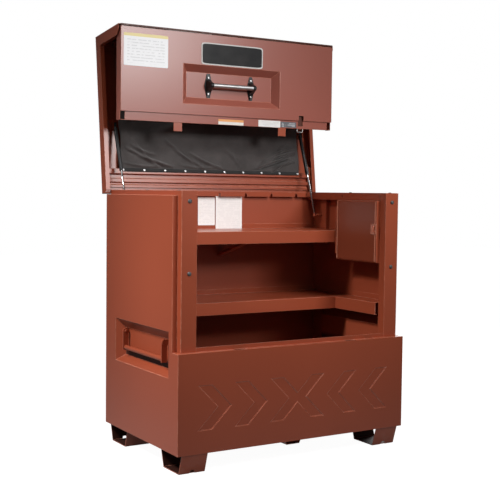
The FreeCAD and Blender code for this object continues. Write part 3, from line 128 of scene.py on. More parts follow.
powder = {
    "deep": (0.288, 0.054, 0.022, 1),
    "plain": (0.335, 0.066, 0.028, 1),
    "dusty": (0.340, 0.150, 0.105, 1),
    "worn": (0.560, 0.230, 0.155, 1),
    # colour of the painted shadow under the side handles' bar
    "barShadeColour": (0.012, 0.009, 0.008, 1),
    "dustTop": 0.11,         # the dust ends at this height
    "barShade": None,           # none, or the heights where the painted shadow under a handle's bar is thick and where it ends
    "roughLow": 0.275,
    "roughHigh": 0.300,
    "peel": 420.0,           # scale of the orange peel
    "specular": 0.36,
}

# what each coat changes in the powder
coats = {
    "powder": {},
    # folds: rounded folds paler in short runs, partly rubbed wear and partly a painted highlight
    "folds": {"roughLow": 0.25, "roughHigh": 0.30},
    "inside": {"roughLow": 0.38, "roughHigh": 0.44},
    # hems: a pale coat on the small door's hems, a painted highlight
    "hems": {"deep": (0.52, 0.20, 0.13, 1), "plain": (0.62, 0.26, 0.17, 1),
             "roughLow": 0.25, "roughHigh": 0.30},
    # pans: the flat walls of the handle pans, darkened low down as a painted shadow under the bar
    "pans": {"barShade": (0.455, 0.480), "roughLow": 0.48, "roughHigh": 0.54, "specular": 0.15},
    "door": {"deep": (0.285, 0.080, 0.056, 1), "plain": (0.318, 0.092, 0.066, 1)},
    # locker: a darker copy of the same powder for the small door inside, painted shade
    "locker": {"deep": (0.205, 0.040, 0.017, 1), "plain": (0.235, 0.048, 0.021, 1)},
    # feet_inside: the faces inside the feet's hollows, painted dark as shade
    "feet_inside": {"deep": (0.030, 0.010, 0.007, 1), "plain": (0.045, 0.014, 0.009, 1),
                    "dusty": (0.060, 0.030, 0.022, 1), "worn": (0.09, 0.04, 0.03, 1),
                    "roughLow": 0.55, "roughHigh": 0.62, "specular": 0.12},
    "hinge": {"deep": (0.060, 0.018, 0.012, 1), "plain": (0.095, 0.027, 0.016, 1)},
}


def powderCoat(name, look, edge=False):
    # semi-gloss powder coat: slow tone changes, fine orange peel, a little dust low down and, where the look
    # has it, a painted shadow low down; on a fold it is thinner and paler in short runs, partly rubbed wear
    # and partly a painted highlight
    material, tree, shader = newMaterial(name)
    place = put(tree, "TexCoord", output="Object")
    slow = noise(tree, place, 1.7, 2.0, 0.45)
    tone = blendColour(tree, spread(tree, slow, 0.15, 0.85, 0.0, 1.0), look["deep"], look["plain"])
    speck = spread(tree, noise(tree, place, 900.0, 1.0), 0.3, 0.7, 0.0, 0.05)
    tone = blendColour(tree, speck, tone, look["worn"])
    height = put(tree, "SeparateXYZ", {0: place}, "Z")
    patchy = spread(tree, noise(tree, place, 26.0, 5.0, 0.65), 0.45, 0.7, 0.0, 0.7)
    dust = times(tree, spread(tree, height, look["dustTop"], 0.0, 0.0, 0.55), patchy)
    tone = blendColour(tree, dust, tone, look["dusty"])
    # painted shadow: dark below the first height, fading out by the second
    if look["barShade"]:
        tone = blendColour(tree, spread(tree, height, *look["barShade"], 0.88, 0.0), tone, look["barShadeColour"])
    # on a fold: paler in runs, partly rubbed wear and partly a painted highlight
    if edge:
        rubbedAndLit = spread(tree, noise(tree, place, 24.0, 4.0), 0.38, 0.60, 0.35, 0.9)
        tone = blendColour(tree, rubbedAndLit, tone, look["worn"])
    wiped = noise(tree, place, 2.6, 3.0, 0.5)
    feed(tree, shader, {
        "Base Color": tone,
        "Roughness": spread(tree, wiped, 0.1, 0.9, look["roughLow"], look["roughHigh"]),
        "Normal": bump(tree, noise(tree, place, look["peel"], 1.0), 0.07, 0.0003),
        "Specular IOR Level": look["specular"],
    })
    return material


satin = {
    "deep": (0.009, 0.009, 0.010, 1),
    "plain": (0.022, 0.021, 0.021, 1),
    "rough": (0.32, 0.46),
    "grain": 260.0,
    "specular": 0.35,
}


def satinBlack(name, look):
    # satin black coat: a slightly uneven tone and a fine grain
    material, tree, shader = newMaterial(name)
    place = put(tree, "TexCoord", output="Object")
    uneven = spread(tree, noise(tree, place, 30.0, 4.0), 0.35, 0.7, 0.0, 1.0)
    feed(tree, shader, {
        "Base Color": blendColour(tree, uneven, look["deep"], look["plain"]),
        "Roughness": spread(tree, noise(tree, place, 70.0, 3.0), 0.3, 0.7, *look["rough"]),
        "Normal": bump(tree, noise(tree, place, look["grain"], 1.0), 0.2, 0.0004),
        "Specular IOR Level": look["specular"],
    })
    return material


# grain is how close the lines lie along each axis
steelLooks = {
    "drawn": {"grain": (1.0, 60.0, 60.0), "tint": (0.60, 0.60, 0.61, 1), "rough": (0.24, 0.40)},
    "zinc": {"grain": (12.0, 12.0, 12.0), "tint": (0.56, 0.56, 0.57, 1), "rough": (0.32, 0.5)},
    "satin": {"grain": (1.0, 60.0, 60.0), "tint": (0.46, 0.46, 0.47, 1), "rough": (0.40, 0.52)},
    "dull": {"grain": (12.0, 12.0, 12.0), "tint": (0.30, 0.28, 0.27, 1), "rough": (0.40, 0.55)},
}


def brightSteel(name, look):
    # drawn or turned steel: fine lines and a few stains
    material, tree, shader = newMaterial(name)
    place = put(tree, "TexCoord", output="Object")
    drawn = put(tree, "Mapping", {"Vector": place, "Scale": look["grain"]})
    lines = noise(tree, drawn, 14.0, 4.0, 0.7)
    stain = spread(tree, noise(tree, place, 24.0, 4.0), 0.45, 0.72, 0.0, 0.55)
    feed(tree, shader, {
        "Base Color": blendColour(tree, stain, look["tint"], (0.36, 0.33, 0.30, 1)),
        "Roughness": spread(tree, lines, 0.3, 0.7, *look["rough"]),
        "Normal": bump(tree, lines, 0.12, 0.0003),
        "Metallic": 1.0,
    })
    return material


polished = {
    "clean": (0.78, 0.79, 0.80, 1),
    "oily": (0.5, 0.47, 0.43, 1),
    "rough": (0.05, 0.16),
}


def chrome(name, look):
    # polished chrome under a thin, uneven film
    material, tree, shader = newMaterial(name)
    film = noise(tree, put(tree, "TexCoord", output="Object"), 90.0, 3.0)
    feed(tree, shader, {
        "Base Color": blendColour(tree, spread(tree, film, 0.5, 0.8, 0.0, 0.4), look["clean"], look["oily"]),
        "Roughness": spread(tree, film, 0.3, 0.7, *look["rough"]),
        "Metallic": 1.0,
    })
    return material


cloth = {
    "thread": 1.5e-3,        # pitch of the weave
    "dark": (0.047, 0.040, 0.038, 1),
    "worn": (0.088, 0.075, 0.072, 1),
    "gaps": (0.010, 0.009, 0.009, 1),
    "rough": 0.82,
    "sheen": 0.25,
}


def wovenFabric(name, look):
    # plain weave in the cloth's own UV, which is in metres; a wave of scale 1 has 20 / tau bands to a metre
    material, tree, shader = newMaterial(name)
    flat = put(tree, "UVMap", uv_map="cloth")
    bands = {"Vector": flat, "Scale": 1.0 / look["thread"] / 20.0 * math.tau, "Distortion": 0.0}
    over = put(tree, "TexWave", bands, "Fac", bands_direction="X")
    under = put(tree, "TexWave", bands, "Fac", bands_direction="Y")
    weave = times(tree, over, under)
    patch = noise(tree, flat, 7.0, 5.0, 0.62)
    tone = blendColour(tree, spread(tree, patch, 0.35, 0.72, 0.0, 1.0), look["dark"], look["worn"])
    tone = blendColour(tree, spread(tree, weave, 0.0, 1.0, 0.35, 0.0), tone, look["gaps"])
    feed(tree, shader, {
        "Base Color": tone,
        "Normal": bump(tree, weave, 0.35, 0.0006),
        "Roughness": look["rough"],
        "Sheen Weight": look["sheen"],
        "Sheen Roughness": 0.45,
    })
    return material


rubber = {
    "dark": (0.050, 0.044, 0.043, 1),
    "bloomed": (0.100, 0.088, 0.085, 1),
    "rough": 0.52,
}


def mouldedRubber(name, look):
    # dark rubber with a pale bloom in patches
    material, tree, shader = newMaterial(name)
    place = put(tree, "TexCoord", output="Object")
    bloom = spread(tree, noise(tree, place, 120.0, 4.0), 0.4, 0.7, 0.0, 0.6)
    feed(tree, shader, {
        "Base Color": blendColour(tree, bloom, look["dark"], look["bloomed"]),
        "Normal": bump(tree, noise(tree, place, 700.0, 2.0), 0.25, 0.0003),
        "Roughness": look["rough"],
    })
    return material


paper = {
    "ground": (0.90, 0.89, 0.87, 1),
    "band": (0.90, 0.89, 0.87, 1),
    "bandFrom": 0.99,        # share of the height where the band along the top starts
    "rows": 19,              # ruled lines
    "ink": 0.16,             # their strength
    "writing": (0.22, 0.22, 0.23, 1),
}

# what each label changes in the paper
prints = {
    "instruction_paper": {},
    "label_paper_yellow_band": {"ground": (0.83, 0.83, 0.84, 1), "band": (0.74, 0.60, 0.22, 1),
                                "bandFrom": 0.90, "rows": 11, "ink": 0.30},
    "label_paper_orange_band": {"ground": (0.74, 0.70, 0.64, 1), "band": (0.72, 0.30, 0.08, 1),
                                "bandFrom": 0.55, "rows": 4, "ink": 0.22},
    "label_paper_plain": {"ground": (0.76, 0.75, 0.73, 1), "band": (0.76, 0.75, 0.73, 1),
                          "bandFrom": 0.98, "rows": 5, "ink": 0.3},
    "label_paper_dark": {"ground": (0.10, 0.10, 0.11, 1), "band": (0.10, 0.10, 0.11, 1),
                         "bandFrom": 0.98, "rows": 4, "ink": 0.85, "writing": (0.66, 0.66, 0.68, 1)},
}


def printedLabel(name, look):
    # a paper label: its UV runs 0 to 1; a band along the top, faint rules and a fibrous ground
    material, tree, shader = newMaterial(name)
    flat = put(tree, "UVMap", uv_map="label")
    place = put(tree, "TexCoord", output="Object")
    across = put(tree, "SeparateXYZ", {0: flat}, "X")
    up = put(tree, "SeparateXYZ", {0: flat}, "Y")
    fibre = noise(tree, place, 160.0, 4.0)
    shaded = tuple(0.93 * c for c in look["ground"][:3]) + (1,)
    tone = blendColour(tree, spread(tree, fibre, 0.35, 0.7, 0.0, 0.5), look["ground"], shaded)
    line = put(tree, "Math", {0: times(tree, up, float(look["rows"]))}, operation="FRACT")
    rule = spread(tree, line, 0.62, 0.66, 0.0, 1.0)
    # the rules keep clear of the ends, the foot and the band
    bandFrom = look["bandFrom"]
    ends = times(tree, spread(tree, across, 0.07, 0.08, 0.0, 1.0), spread(tree, across, 0.93, 0.92, 0.0, 1.0))
    foot = spread(tree, up, 0.08, 0.09, 0.0, 1.0)
    head = spread(tree, up, bandFrom - 0.05, bandFrom - 0.06, 0.0, 1.0)
    inside = times(tree, ends, times(tree, foot, head))
    ragged = spread(tree, noise(tree, place, 55.0, 1.0), 0.42, 0.48, 0.0, 1.0)
    lines = times(tree, times(tree, rule, inside), times(tree, ragged, look["ink"]))
    tone = blendColour(tree, lines, tone, look["writing"])
    banded = spread(tree, up, bandFrom, bandFrom + 0.01, 0.0, 1.0)
    feed(tree, shader, {
        "Base Color": blendColour(tree, banded, tone, look["band"]),
        "Normal": bump(tree, fibre, 0.1, 0.0002),
        "Roughness": 0.42,
    })
    return material


bare = {
    "deep": (0.010, 0.010, 0.011, 1),
    "plain": (0.020, 0.019, 0.019, 1),
    "border": (0.62, 0.60, 0.58, 1),
    "borderEnd": (0.0052, 0.0062),   # the border fades out between these distances from the rim
    "rough": (0.36, 0.44),
    "specular": 0.10,
}


def barePlate(name, look):
    # a dark plate with a pale border and no mark; "inset" is the distance in from its rim
    material, tree, shader = newMaterial(name)
    place = put(tree, "TexCoord", output="Object")
    inset = put(tree, "Attribute", output="Fac", attribute_name="inset")
    near, far = look["borderEnd"]
    rim = spread(tree, inset, far, near, 0.0, 1.0)
    uneven = spread(tree, noise(tree, place, 12.0, 3.0), 0.3, 0.7, 0.0, 1.0)
    tone = blendColour(tree, uneven, look["deep"], look["plain"])
    feed(tree, shader, {
        "Base Color": blendColour(tree, rim, tone, look["border"]),
        "Roughness": spread(tree, noise(tree, place, 45.0, 4.0), 0.3, 0.7, *look["rough"]),
        "Normal": bump(tree, noise(tree, place, 300.0, 1.0), 0.05, 0.0002),
        "Specular IOR Level": look["specular"],
    })
    return material


brown = {}
for name, changes in coats.items():
    brown[name] = powderCoat("rust_brown_" + name, dict(powder, **changes), edge=name == "folds")
steel = {name: brightSteel(name + "_steel", look) for name, look in steelLooks.items()}
printed = {name: printedLabel(name, dict(paper, **changes)) for name, changes in prints.items()}
blackCoat = satinBlack("satin_black_coat", satin)
rodChrome = chrome("rod_chrome", polished)
linerCloth = wovenFabric("liner_weave", cloth)
hemCloth = wovenFabric("hem_weave", dict(cloth, dark=(0.008, 0.008, 0.008, 1), worn=(0.020, 0.019, 0.019, 1)))
stopRubber = mouldedRubber("stop_rubber", rubber)
platePaint = barePlate("bare_plate", bare)
print("materials made")


# surfaces from grids of points
def weld(mesh, outward):
    # points that coincide become one, and the faces of a closed surface are turned outward
    work = bmesh.new()
    work.from_mesh(mesh)
    bmesh.ops.remove_doubles(work, verts=work.verts, dist=1e-6)
    if outward:
        bmesh.ops.recalc_face_normals(work, faces=work.faces)
    work.to_mesh(mesh)
    work.free()


def surface(name, points, material, body, wrapU=False, closed=False, uv=None, uvName="uv",
            smooth=True):
    # points is copies x nu x nv x 3, or one such grid; neighbours on it are joined by quads, and the
    # last row to the first where it wraps
    points = np.asarray(points, dtype=np.float64)
    if points.ndim == 3:
        points = points[None]
    copies, nu, nv = points.shape[:3]
    index = np.arange(copies * nu * nv).reshape(copies, nu, nv)
    if wrapU:
        index = np.concatenate([index, index[:, :1]], axis=1)
    sides = [index[:, :-1, :-1], index[:, 1:, :-1], index[:, 1:, 1:], index[:, :-1, 1:]]
    quads = np.stack(sides, axis=-1).reshape(-1, 4)
    mesh = bpy.data.meshes.new(name)
    mesh.from_pydata(points.reshape(-1, 3).tolist(), [], quads.tolist())
    if uv is not None:
        layer = mesh.uv_layers.new(name=uvName)
        corners = np.asarray(uv, dtype=np.float64).reshape(-1, 2)[quads.reshape(-1)]
        layer.data.foreach_set("uv", corners.ravel())
    if closed:
        weld(mesh, True)
    mesh.polygons.foreach_set("use_smooth", np.full(len(mesh.polygons), smooth))
    mesh.materials.append(material)
    piece = bpy.data.objects.new(name, mesh)
    bpy.context.scene.collection.objects.link(piece)
    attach(piece, body)
    return piece


def sharpen(piece, degrees):
    # edges steeper than this stay crisp
    piece.data.set_sharp_from_angle(angle=math.radians(degrees))


def thicken(piece, thickness):
    thick = piece.modifiers.new("thick", "SOLIDIFY")
    thick.thickness = thickness
    thick.offset = 0


def turned(name, axis, centres, profile, steps, material, body):
    # a profile of (radius, height) pairs turned about an axis, one copy at each centre:
    # point = centre + height * axis + radius * (cos * side + sin * up)
    axis = np.asarray(axis, dtype=float)
    side = np.array([1.0, 0, 0]) if abs(axis[0]) < 0.5 else np.array([0, 1.0, 0])
    up = np.cross(axis, side)
    profile = np.asarray(profile, dtype=float)
    angle = np.linspace(0, math.tau, steps, endpoint=False)
    ring = np.cos(angle)[:, None] * side + np.sin(angle)[:, None] * up
    shape = profile[None, :, :1] * ring[:, None, :] + profile[None, :, 1:] * axis
    points = np.asarray(centres, dtype=float)[:, None, None, :] + shape[None]
    return surface(name, points, material, body, wrapU=True, closed=True)


def openLid(x, y, z):
    # shut points turned open about the lid's hinge and moved to the frame
    hingeY, hingeZ = box["hinge"]
    c, s = math.cos(box["lidAngle"]), math.sin(box["lidAngle"])
    return np.stack(np.broadcast_arrays(x, hingeY + (y - hingeY) * c + (z - hingeZ) * s + box["bodyY"],
                                        hingeZ - (y - hingeY) * s + (z - hingeZ) * c), axis=-1)


def openDoor(x, y, z):
    # shut points moved with the door, which stays upright
    shiftY, shiftZ = box["doorShift"]
    return np.stack(np.broadcast_arrays(x, y + shiftY + box["bodyY"], z + shiftZ), axis=-1)


def onBody(x, y, z):
    return np.stack(np.broadcast_arrays(x, y + box["bodyY"], z), axis=-1)


# the sheet steel, with its folds rounded
folds = {
    "radius": 0.0009,        # half the sheet's thickness at most
    "sharp": 28.0,           # degrees between faces that count as a fold
    "merge": 1e-5,           # points nearer than this become one
    "flat": 0.5,             # and so do faces with fewer degrees between them
    "segments": 2,
}


def mergedCopy(name, material, smooth):
    # a merged copy of a CAD piece: sheet is flat-faced with rounded folds, a round piece is shaded smooth
    source = nodes[name]
    work = bmesh.new()
    work.from_mesh(source.data)
    bmesh.ops.remove_doubles(work, verts=work.verts, dist=folds["merge"])
    bmesh.ops.dissolve_limit(work, angle_limit=math.radians(folds["flat"]),
                             verts=work.verts, edges=work.edges)
    mesh = bpy.data.meshes.new(name + "_steel")
    work.to_mesh(mesh)
    work.free()
    mesh.polygons.foreach_set("use_smooth", np.full(len(mesh.polygons), smooth))
    if smooth:
        mesh.set_sharp_from_angle(angle=math.radians(folds["sharp"]))
    # the fold bevels of brown pieces take the fold coat: rubbed wear and a painted highlight
    rubbedAndLit = material in (brown["powder"], brown["inside"], brown["door"])
    mesh.materials.append(material)
    mesh.materials.append(brown["folds"] if rubbedAndLit else material)
    piece = bpy.data.objects.new(name + "_steel", mesh)
    bpy.context.scene.collection.objects.link(piece)
    if not smooth:
        bevel = piece.modifiers.new("folds", "BEVEL")
        bevel.limit_method = "ANGLE"
        bevel.angle_limit = math.radians(folds["sharp"])
        bevel.width = folds["radius"]
        bevel.segments = folds["segments"]
        bevel.use_clamp_overlap = True
        bevel.material = 1
    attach(piece, source["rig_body"])
    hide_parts(name)
    return piece


slotOf = {s["node"]: s["material_slot"] for s in frame["record"]["subparts"]}
slotLooks = {
    "brown_paint": brown["powder"],
    "black_paint": blackCoat,
    "bright_steel": steel["zinc"],
    "rod_chrome": rodChrome,
}
pieceLooks = {
    "locker_hinge": brown["powder"],
    # the whole hasp wears the fold coat, so it too is painted paler, partly as a highlight
    "locker_hasp": brown["folds"],
    "lock_pocket": brown["hinge"],
    "door_hinge_door": brown["hinge"],
    "door_hinge_lid": brown["hinge"],
    "back_panel": brown["inside"],
    "floor_pan": brown["inside"],
    # the small door inside takes the darker copy of the powder: painted shade
    "locker_door": brown["locker"],
    "door_shell": brown["door"],
}
newlyMade = {"fabric_liner", "grip_bar", "lock_staple"}     # these are drawn afresh further down
smallRound = ("hinge", "spring_c", "spring_r", "spring_s", "ears", "side_handle")
recoats = {
    "footInside": 0.004,             # a foot's inner faces look towards its middle from this far or more
    "panWall": 0.98,                 # the flat bottom of a handle pan looks at least this much along X
    "lockerHem": (0.4850, 0.4868),   # x of the hem round the small door inside, between these; its pale coat is a painted highlight
    "hemWay": -0.99,                 # and the hem looks at least this much to the left
}


def recoat(piece, material, chosen):
    # the faces for which chosen(face) holds take another coat
    piece.data.materials.append(material)
    for face in piece.data.polygons:
        if chosen(face):
            face.material_index = len(piece.data.materials) - 1


# a foot's inner faces take a painted shade
def paintFootShade(piece):
    spots = np.array([tuple(v.co) for v in piece.data.vertices])
    middle = Vector((spots.min(axis=0) + spots.max(axis=0)) / 2)
    recoat(piece, brown["feet_inside"],
           lambda face: (middle - face.center).dot(face.normal) > recoats["footInside"])


# the flat walls of a handle pan take the painted shadow under the bar
def paintPanShade(piece):
    recoat(piece, brown["pans"], lambda face: abs(face.normal.x) > recoats["panWall"])


# the hem round the small door takes a painted highlight
def paintLockerHemHighlight(piece):
    low, high = recoats["lockerHem"]
    recoat(piece, brown["hems"],
           lambda face: face.normal.x < recoats["hemWay"] and low < face.center.x < high)


for name in sorted(nodes):
    if name in newlyMade:
        continue
    look = pieceLooks.get(name, slotLooks[slotOf[name]])
    piece = mergedCopy(name, look, any(word in name for word in smallRound))
    if name.startswith("foot_"):
        paintFootShade(piece)
    if name.startswith("handle_pan_"):
        paintPanShade(piece)
    if name == "locker_door":
        paintLockerHemHighlight(piece)
print("steel pieces made")


# the fabric lining of the lid
liner = {
    "halfWidth": 0.522,
    "front": -0.354,
    "rear": 0.286,
    "height": 1.2155,
    "thick": 0.0012,
    "across": 261,               # points each way
    "along": 161,
    "crowd": 0.8,                # below 1 there are more of them towards the rear
    "heldSides": 0.06,           # shares of the cloth over which it flattens out towards its edges
    "heldFront": 0.06,
    "heldRear": 0.05,
    "belly": 0.004,
    "wrinkle": 3.0,              # times the amounts below
    "narrow": 0.86,              # times the widths below
    "bow": 0.012,                # of a ridge, in metres
    "sideWave": 0.004,           # how far the side edges wander
    "snaps": 10,
    "snapHalf": 0.511,
    "snapSize": 0.85,            # share of a 14 mm cap
    "snapFace": 0.0026,          # below the lining's height, shut
    "snapSides": 24,
    "snapProfile": [(0, -0.0004), (0.0060, -0.0004), (0.0068, 0.0004), (0.0069, 0.0014), (0.0062, 0.0024),
                    (0.0052, 0.0027), (0.0040, 0.0023), (0.0030, 0.0017), (0.0014, 0.0015), (0, 0.0015)],
    "sag": 0.0016,               # half of how far the rear edge stands off between snaps
    "sagReach": 0.22,            # share of the cloth that stands off with it
    "hem": 0.0165,
    "hemInset": (0.001, 0.0006),     # from the cloth's sides and rear edge
    "hemDrop": 0.0014,
    "hemRoll": 0.0006,
    "hemThick": 0.0010,
    "hemPoints": (241, 7),
    "hemEase": 0.35,             # share of the sag that is gone at the hem's far edge
    "ridges": [
        # x0, y0, x1, y1, amount, width
        (-0.47, 0.145, -0.33, 0.200, 0.0034, 0.0085),
        (-0.50, 0.165, -0.23, 0.260, 0.0058, 0.0088),
        (-0.49, 0.185, -0.27, 0.276, -0.0026, 0.0080),
        (-0.52, 0.238, -0.29, 0.254, 0.0026, 0.0070),
        (-0.46, 0.120, -0.32, 0.262, 0.0026, 0.0100),
        (-0.28, 0.120, -0.05, 0.266, 0.0038, 0.0095),
        (-0.26, 0.150, -0.08, 0.272, -0.0022, 0.0080),
        (-0.21, 0.244, 0.04, 0.252, 0.0022, 0.0075),
        (-0.15, 0.180, 0.09, 0.270, 0.0034, 0.0085),
        (0.52, 0.140, 0.29, 0.216, 0.0060, 0.0085),
        (0.51, 0.158, 0.26, 0.248, 0.0082, 0.0080),
        (0.51, 0.176, 0.20, 0.272, -0.0054, 0.0080),
        (0.50, 0.190, 0.23, 0.268, 0.0060, 0.0075),
        (0.50, 0.210, 0.34, 0.278, 0.0068, 0.0080),
        (0.46, 0.120, 0.38, 0.200, 0.0022, 0.0110),
        (0.16, 0.262, 0.05, 0.150, 0.0020, 0.0120),
        (-0.50, 0.05, -0.20, -0.25, 0.0040, 0.018),
        (-0.36, 0.10, 0.00, -0.06, 0.0028, 0.022),
        (0.50, 0.05, 0.22, -0.24, 0.0040, 0.018),
        (0.34, 0.09, 0.03, -0.10, 0.0028, 0.022),
        (-0.30, -0.33, -0.42, -0.05, 0.0034, 0.014),
        (0.22, -0.33, 0.40, -0.02, 0.0034, 0.014),
    ],
}


def wrinkles(x, y):
    # ridges: each is a line from one point to another, a little bowed, a soft bump across and fading to
    # its ends; height = amount * exp(-(distance / width) squared) * sin(pi * share along) ^ 0.7
    x0, y0, x1, y1, amount, width = (np.array(row)[:, None, None] for row in zip(*liner["ridges"]))
    dx, dy = x1 - x0, y1 - y0
    length = np.hypot(dx, dy)
    share = ((x - x0) * dx + (y - y0) * dy) / length ** 2
    fade = np.sin(math.pi * np.clip(share, 0, 1))
    away = ((x - x0) * dy - (y - y0) * dx) / length + liner["bow"] * fade * np.sign(amount)
    height = amount * np.exp(-(away / (liner["narrow"] * width)) ** 2) * fade ** 0.7
    return liner["wrinkle"] * height.sum(axis=0)


def sagAt(x):
    # nothing at a snap, and twice the sag half way to the next
    return liner["sag"] * (1 - np.cos(math.pi * (liner["snaps"] - 1) * (x / liner["snapHalf"] + 1)))


def makeLiner():
    across = np.linspace(-1, 1, liner["across"])[:, None]
    along = np.linspace(0, 1, liner["along"])[None, :] ** liner["crowd"]
    x = across * liner["halfWidth"] + 0 * along
    y = liner["front"] + (liner["rear"] - liner["front"]) * along + 0 * across
    hold = np.clip((1 - np.abs(across)) / liner["heldSides"], 0, 1)
    hold = hold * np.clip(along / liner["heldFront"], 0, 1) * np.clip((1 - along) / liner["heldRear"], 0, 1)
    belly = liner["belly"] * np.sin(math.pi * along) * np.cos(across * math.pi / 2) ** 0.5
    sag = sagAt(x) * np.clip(1 - (1 - along) / liner["sagReach"], 0, 1) ** 2
    lift = hold * (belly + wrinkles(x, y)) + sag
    side = liner["sideWave"] * np.sin(along * 17 + across * 2) * np.clip(np.abs(across) * 8 - 7, 0, 1)
    points = openLid(x - side, y, liner["height"] - lift)
    piece = surface("liner_cloth", points, linerCloth, "lid",
                    uv=np.stack([x, y], axis=-1), uvName="cloth")
    thicken(piece, liner["thick"])
    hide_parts("fabric_liner")
    return piece


def makeHem():
    # a binding along the edge that is lowest in the open lid; it stands off between the snaps
    sideInset, rearInset = liner["hemInset"]
    pointsAcross, pointsAlong = liner["hemPoints"]
    end = liner["halfWidth"] - sideInset
    v = np.linspace(0, 1, pointsAlong)[None, :]
    x = np.linspace(-end, end, pointsAcross)[:, None] + 0 * v
    y = liner["rear"] - liner["hem"] * v - rearInset + 0 * x
    roll = liner["hemRoll"] * np.sin(math.pi * v)
    z = liner["height"] - liner["hemDrop"] - sagAt(x) * (1 - liner["hemEase"] * v) - roll
    piece = surface("liner_hem", openLid(x, y, z), hemCloth, "lid",
                    uv=np.stack([x, y], axis=-1), uvName="cloth")
    thicken(piece, liner["hemThick"])
    return piece


def makeSnaps():
    # pressed caps: a rolled rim with a dished middle
    places = np.linspace(-liner["snapHalf"], liner["snapHalf"], liner["snaps"])
    base = openLid(places, liner["rear"] - 0.5 * liner["hem"], liner["height"] - liner["snapFace"])
    tip = openLid(0.0, 0.0, 0.0) - openLid(0.0, 0.0, 0.001)
    axis = tip / np.linalg.norm(tip)
    profile = np.array(liner["snapProfile"]) * (liner["snapSize"], 1.0)
    return turned("liner_snaps", axis, base, profile, liner["snapSides"], steel["drawn"],
                  "lid")


linerPiece = makeLiner()
hemPiece = makeHem()
snapPiece = makeSnaps()
print("liner made")


# the door's handle and its screws, measured shut
handle = {
    "half": 0.128,
    "radius": 0.0110,
    "y": -0.374,
    "z": 0.7135,
    "sides": 40,
    "crisp": 50,                 # degrees beyond which an edge stays crisp
    "bracket": 0.122,            # from the middle to the brackets' plates
    "screwReach": 0.040,
    "screwFace": -0.341,
    "screwSides": 24,
    "screwCrisp": 40,
    "screwProfile": [(0, 0.0002), (0.0056, 0.0002), (0.0058, -0.0004), (0.0050, -0.0018), (0.0036, -0.0026),
                     (0.0026, -0.0028), (0.0023, -0.0012), (0, -0.0010)],
}


def makeHandle():
    # a drawn tube with rolled ends, turned about X; an end's points are radius and distance in from it
    r, half = handle["radius"], handle["half"]
    end = [(0, 0.004), (0.0062, 0.0035), (0.0074, 0.0002), (r - 0.0012, 0.0), (r, 0.0015), (r, 0.01)]
    left = [(radius, inset - half) for radius, inset in end]
    right = [(radius, half - inset) for radius, inset in reversed(end)]
    profile = left + [(r, 0)] + right
    centre = openDoor(0.0, handle["y"], handle["z"])[None]
    piece = turned("grip_tube", (1, 0, 0), centre, profile, handle["sides"], steel["satin"],
                   "door")
    sharpen(piece, handle["crisp"])
    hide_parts("grip_bar")


def makeScrews():
    # domed heads with a round recess, on the brackets' plates
    x = np.array([-1, -1, 1, 1]) * handle["bracket"]
    z = handle["z"] + np.array([-1, 1, -1, 1]) * handle["screwReach"]
    base = openDoor(x, handle["screwFace"], z)
    piece = turned("bracket_screws", (0, 1, 0), base, handle["screwProfile"], handle["screwSides"],
                   steel["drawn"], "door")
    sharpen(piece, handle["screwCrisp"])


# the loop under the lock, measured shut
lockLoop = {
    "left": 0.395,
    "right": 0.429,
    "foot": 0.507,
    "head": 0.534,
    "y": -0.359,
    "bend": 0.008,
    "bendPoints": 9,
    "radius": 0.003,
    "sides": 16,
}


def roundedPath(corners, reach, steps):
    # a run through corners, each turned by a parabola that starts and ends at this reach from the corner
    corners = [np.asarray(c, dtype=float) for c in corners]
    share = np.linspace(0, 1, steps)[:, None]
    runs = [corners[0][None]]
    for before, corner, after in zip(corners[:-2], corners[1:-1], corners[2:]):
        a = corner + (before - corner) / np.linalg.norm(before - corner) * reach
        b = corner + (after - corner) / np.linalg.norm(after - corner) * reach
        runs.append((1 - share) ** 2 * a + 2 * share * (1 - share) * corner + share ** 2 * b)
    runs.append(corners[-1][None])
    return np.concatenate(runs)


def tubeAlong(path, radius, across, steps):
    # a circle carried along a flat path: point = path + radius * (cos * across + sin * (tangent x across))
    tangent = np.gradient(path, axis=0)
    tangent /= np.linalg.norm(tangent, axis=1)[:, None]
    across = np.asarray(across, dtype=float)
    side = np.cross(tangent, across)
    angle = np.linspace(0, math.tau, steps, endpoint=False)[:, None, None]
    return path[None] + radius[None, :, None] * (np.cos(angle) * across + np.sin(angle) * side[None])


def makeLockLoop():
    # a round bar bent to a U under the door, its ends closed by rings of no radius
    x0, x1, y = lockLoop["left"], lockLoop["right"], lockLoop["y"]
    z0, z1 = lockLoop["foot"], lockLoop["head"]
    corners = [(x0, y, z1), (x0, y, z0), (x1, y, z0), (x1, y, z1)]
    flat = roundedPath(corners, lockLoop["bend"], lockLoop["bendPoints"])
    path = openDoor(flat[:, 0], flat[:, 1], flat[:, 2])
    radius = np.full(len(path), lockLoop["radius"])
    path = np.concatenate([path[:1], path, path[-1:]])
    radius = np.concatenate([[0.0], radius, [0.0]])
    path[[0, -1], 2] += 1e-5     # the doubled end points move apart, so that the path has a direction there
    points = tubeAlong(path, radius, (0, 1, 0), lockLoop["sides"])
    piece = surface("lock_loop", points, steel["dull"], "door", wrapU=True, closed=True)
    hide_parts("lock_staple")


# labels and plates: left, right, foot and head of each, in the open box's frame
plates = {
    "door_label": (-0.591, -0.361, 1.793, 1.944),
    "door_plate": (-0.180, 0.172, 1.827, 1.934),
    "strip_label_a": (-0.077, 0.068, 1.541, 1.567),
    "strip_label_b": (0.156, 0.288, 1.541, 1.574),
    "strip_label_c": (0.290, 0.386, 1.543, 1.572),
    "wall_sheet_a": (-0.113, -0.015, 1.038, 1.181),
    "wall_sheet_b": (-0.010, 0.146, 1.005, 1.199),
}
sheets = {
    "around": 72,                # points round a rim
    "insets": (0.0, 0.0, 0.0015, 0.0050, 0.0064, 0.0200),     # of each ring from the rim
    "off": 0.0001,               # gap to the door
    "wallOff": 0.0026,           # and to the back wall
}


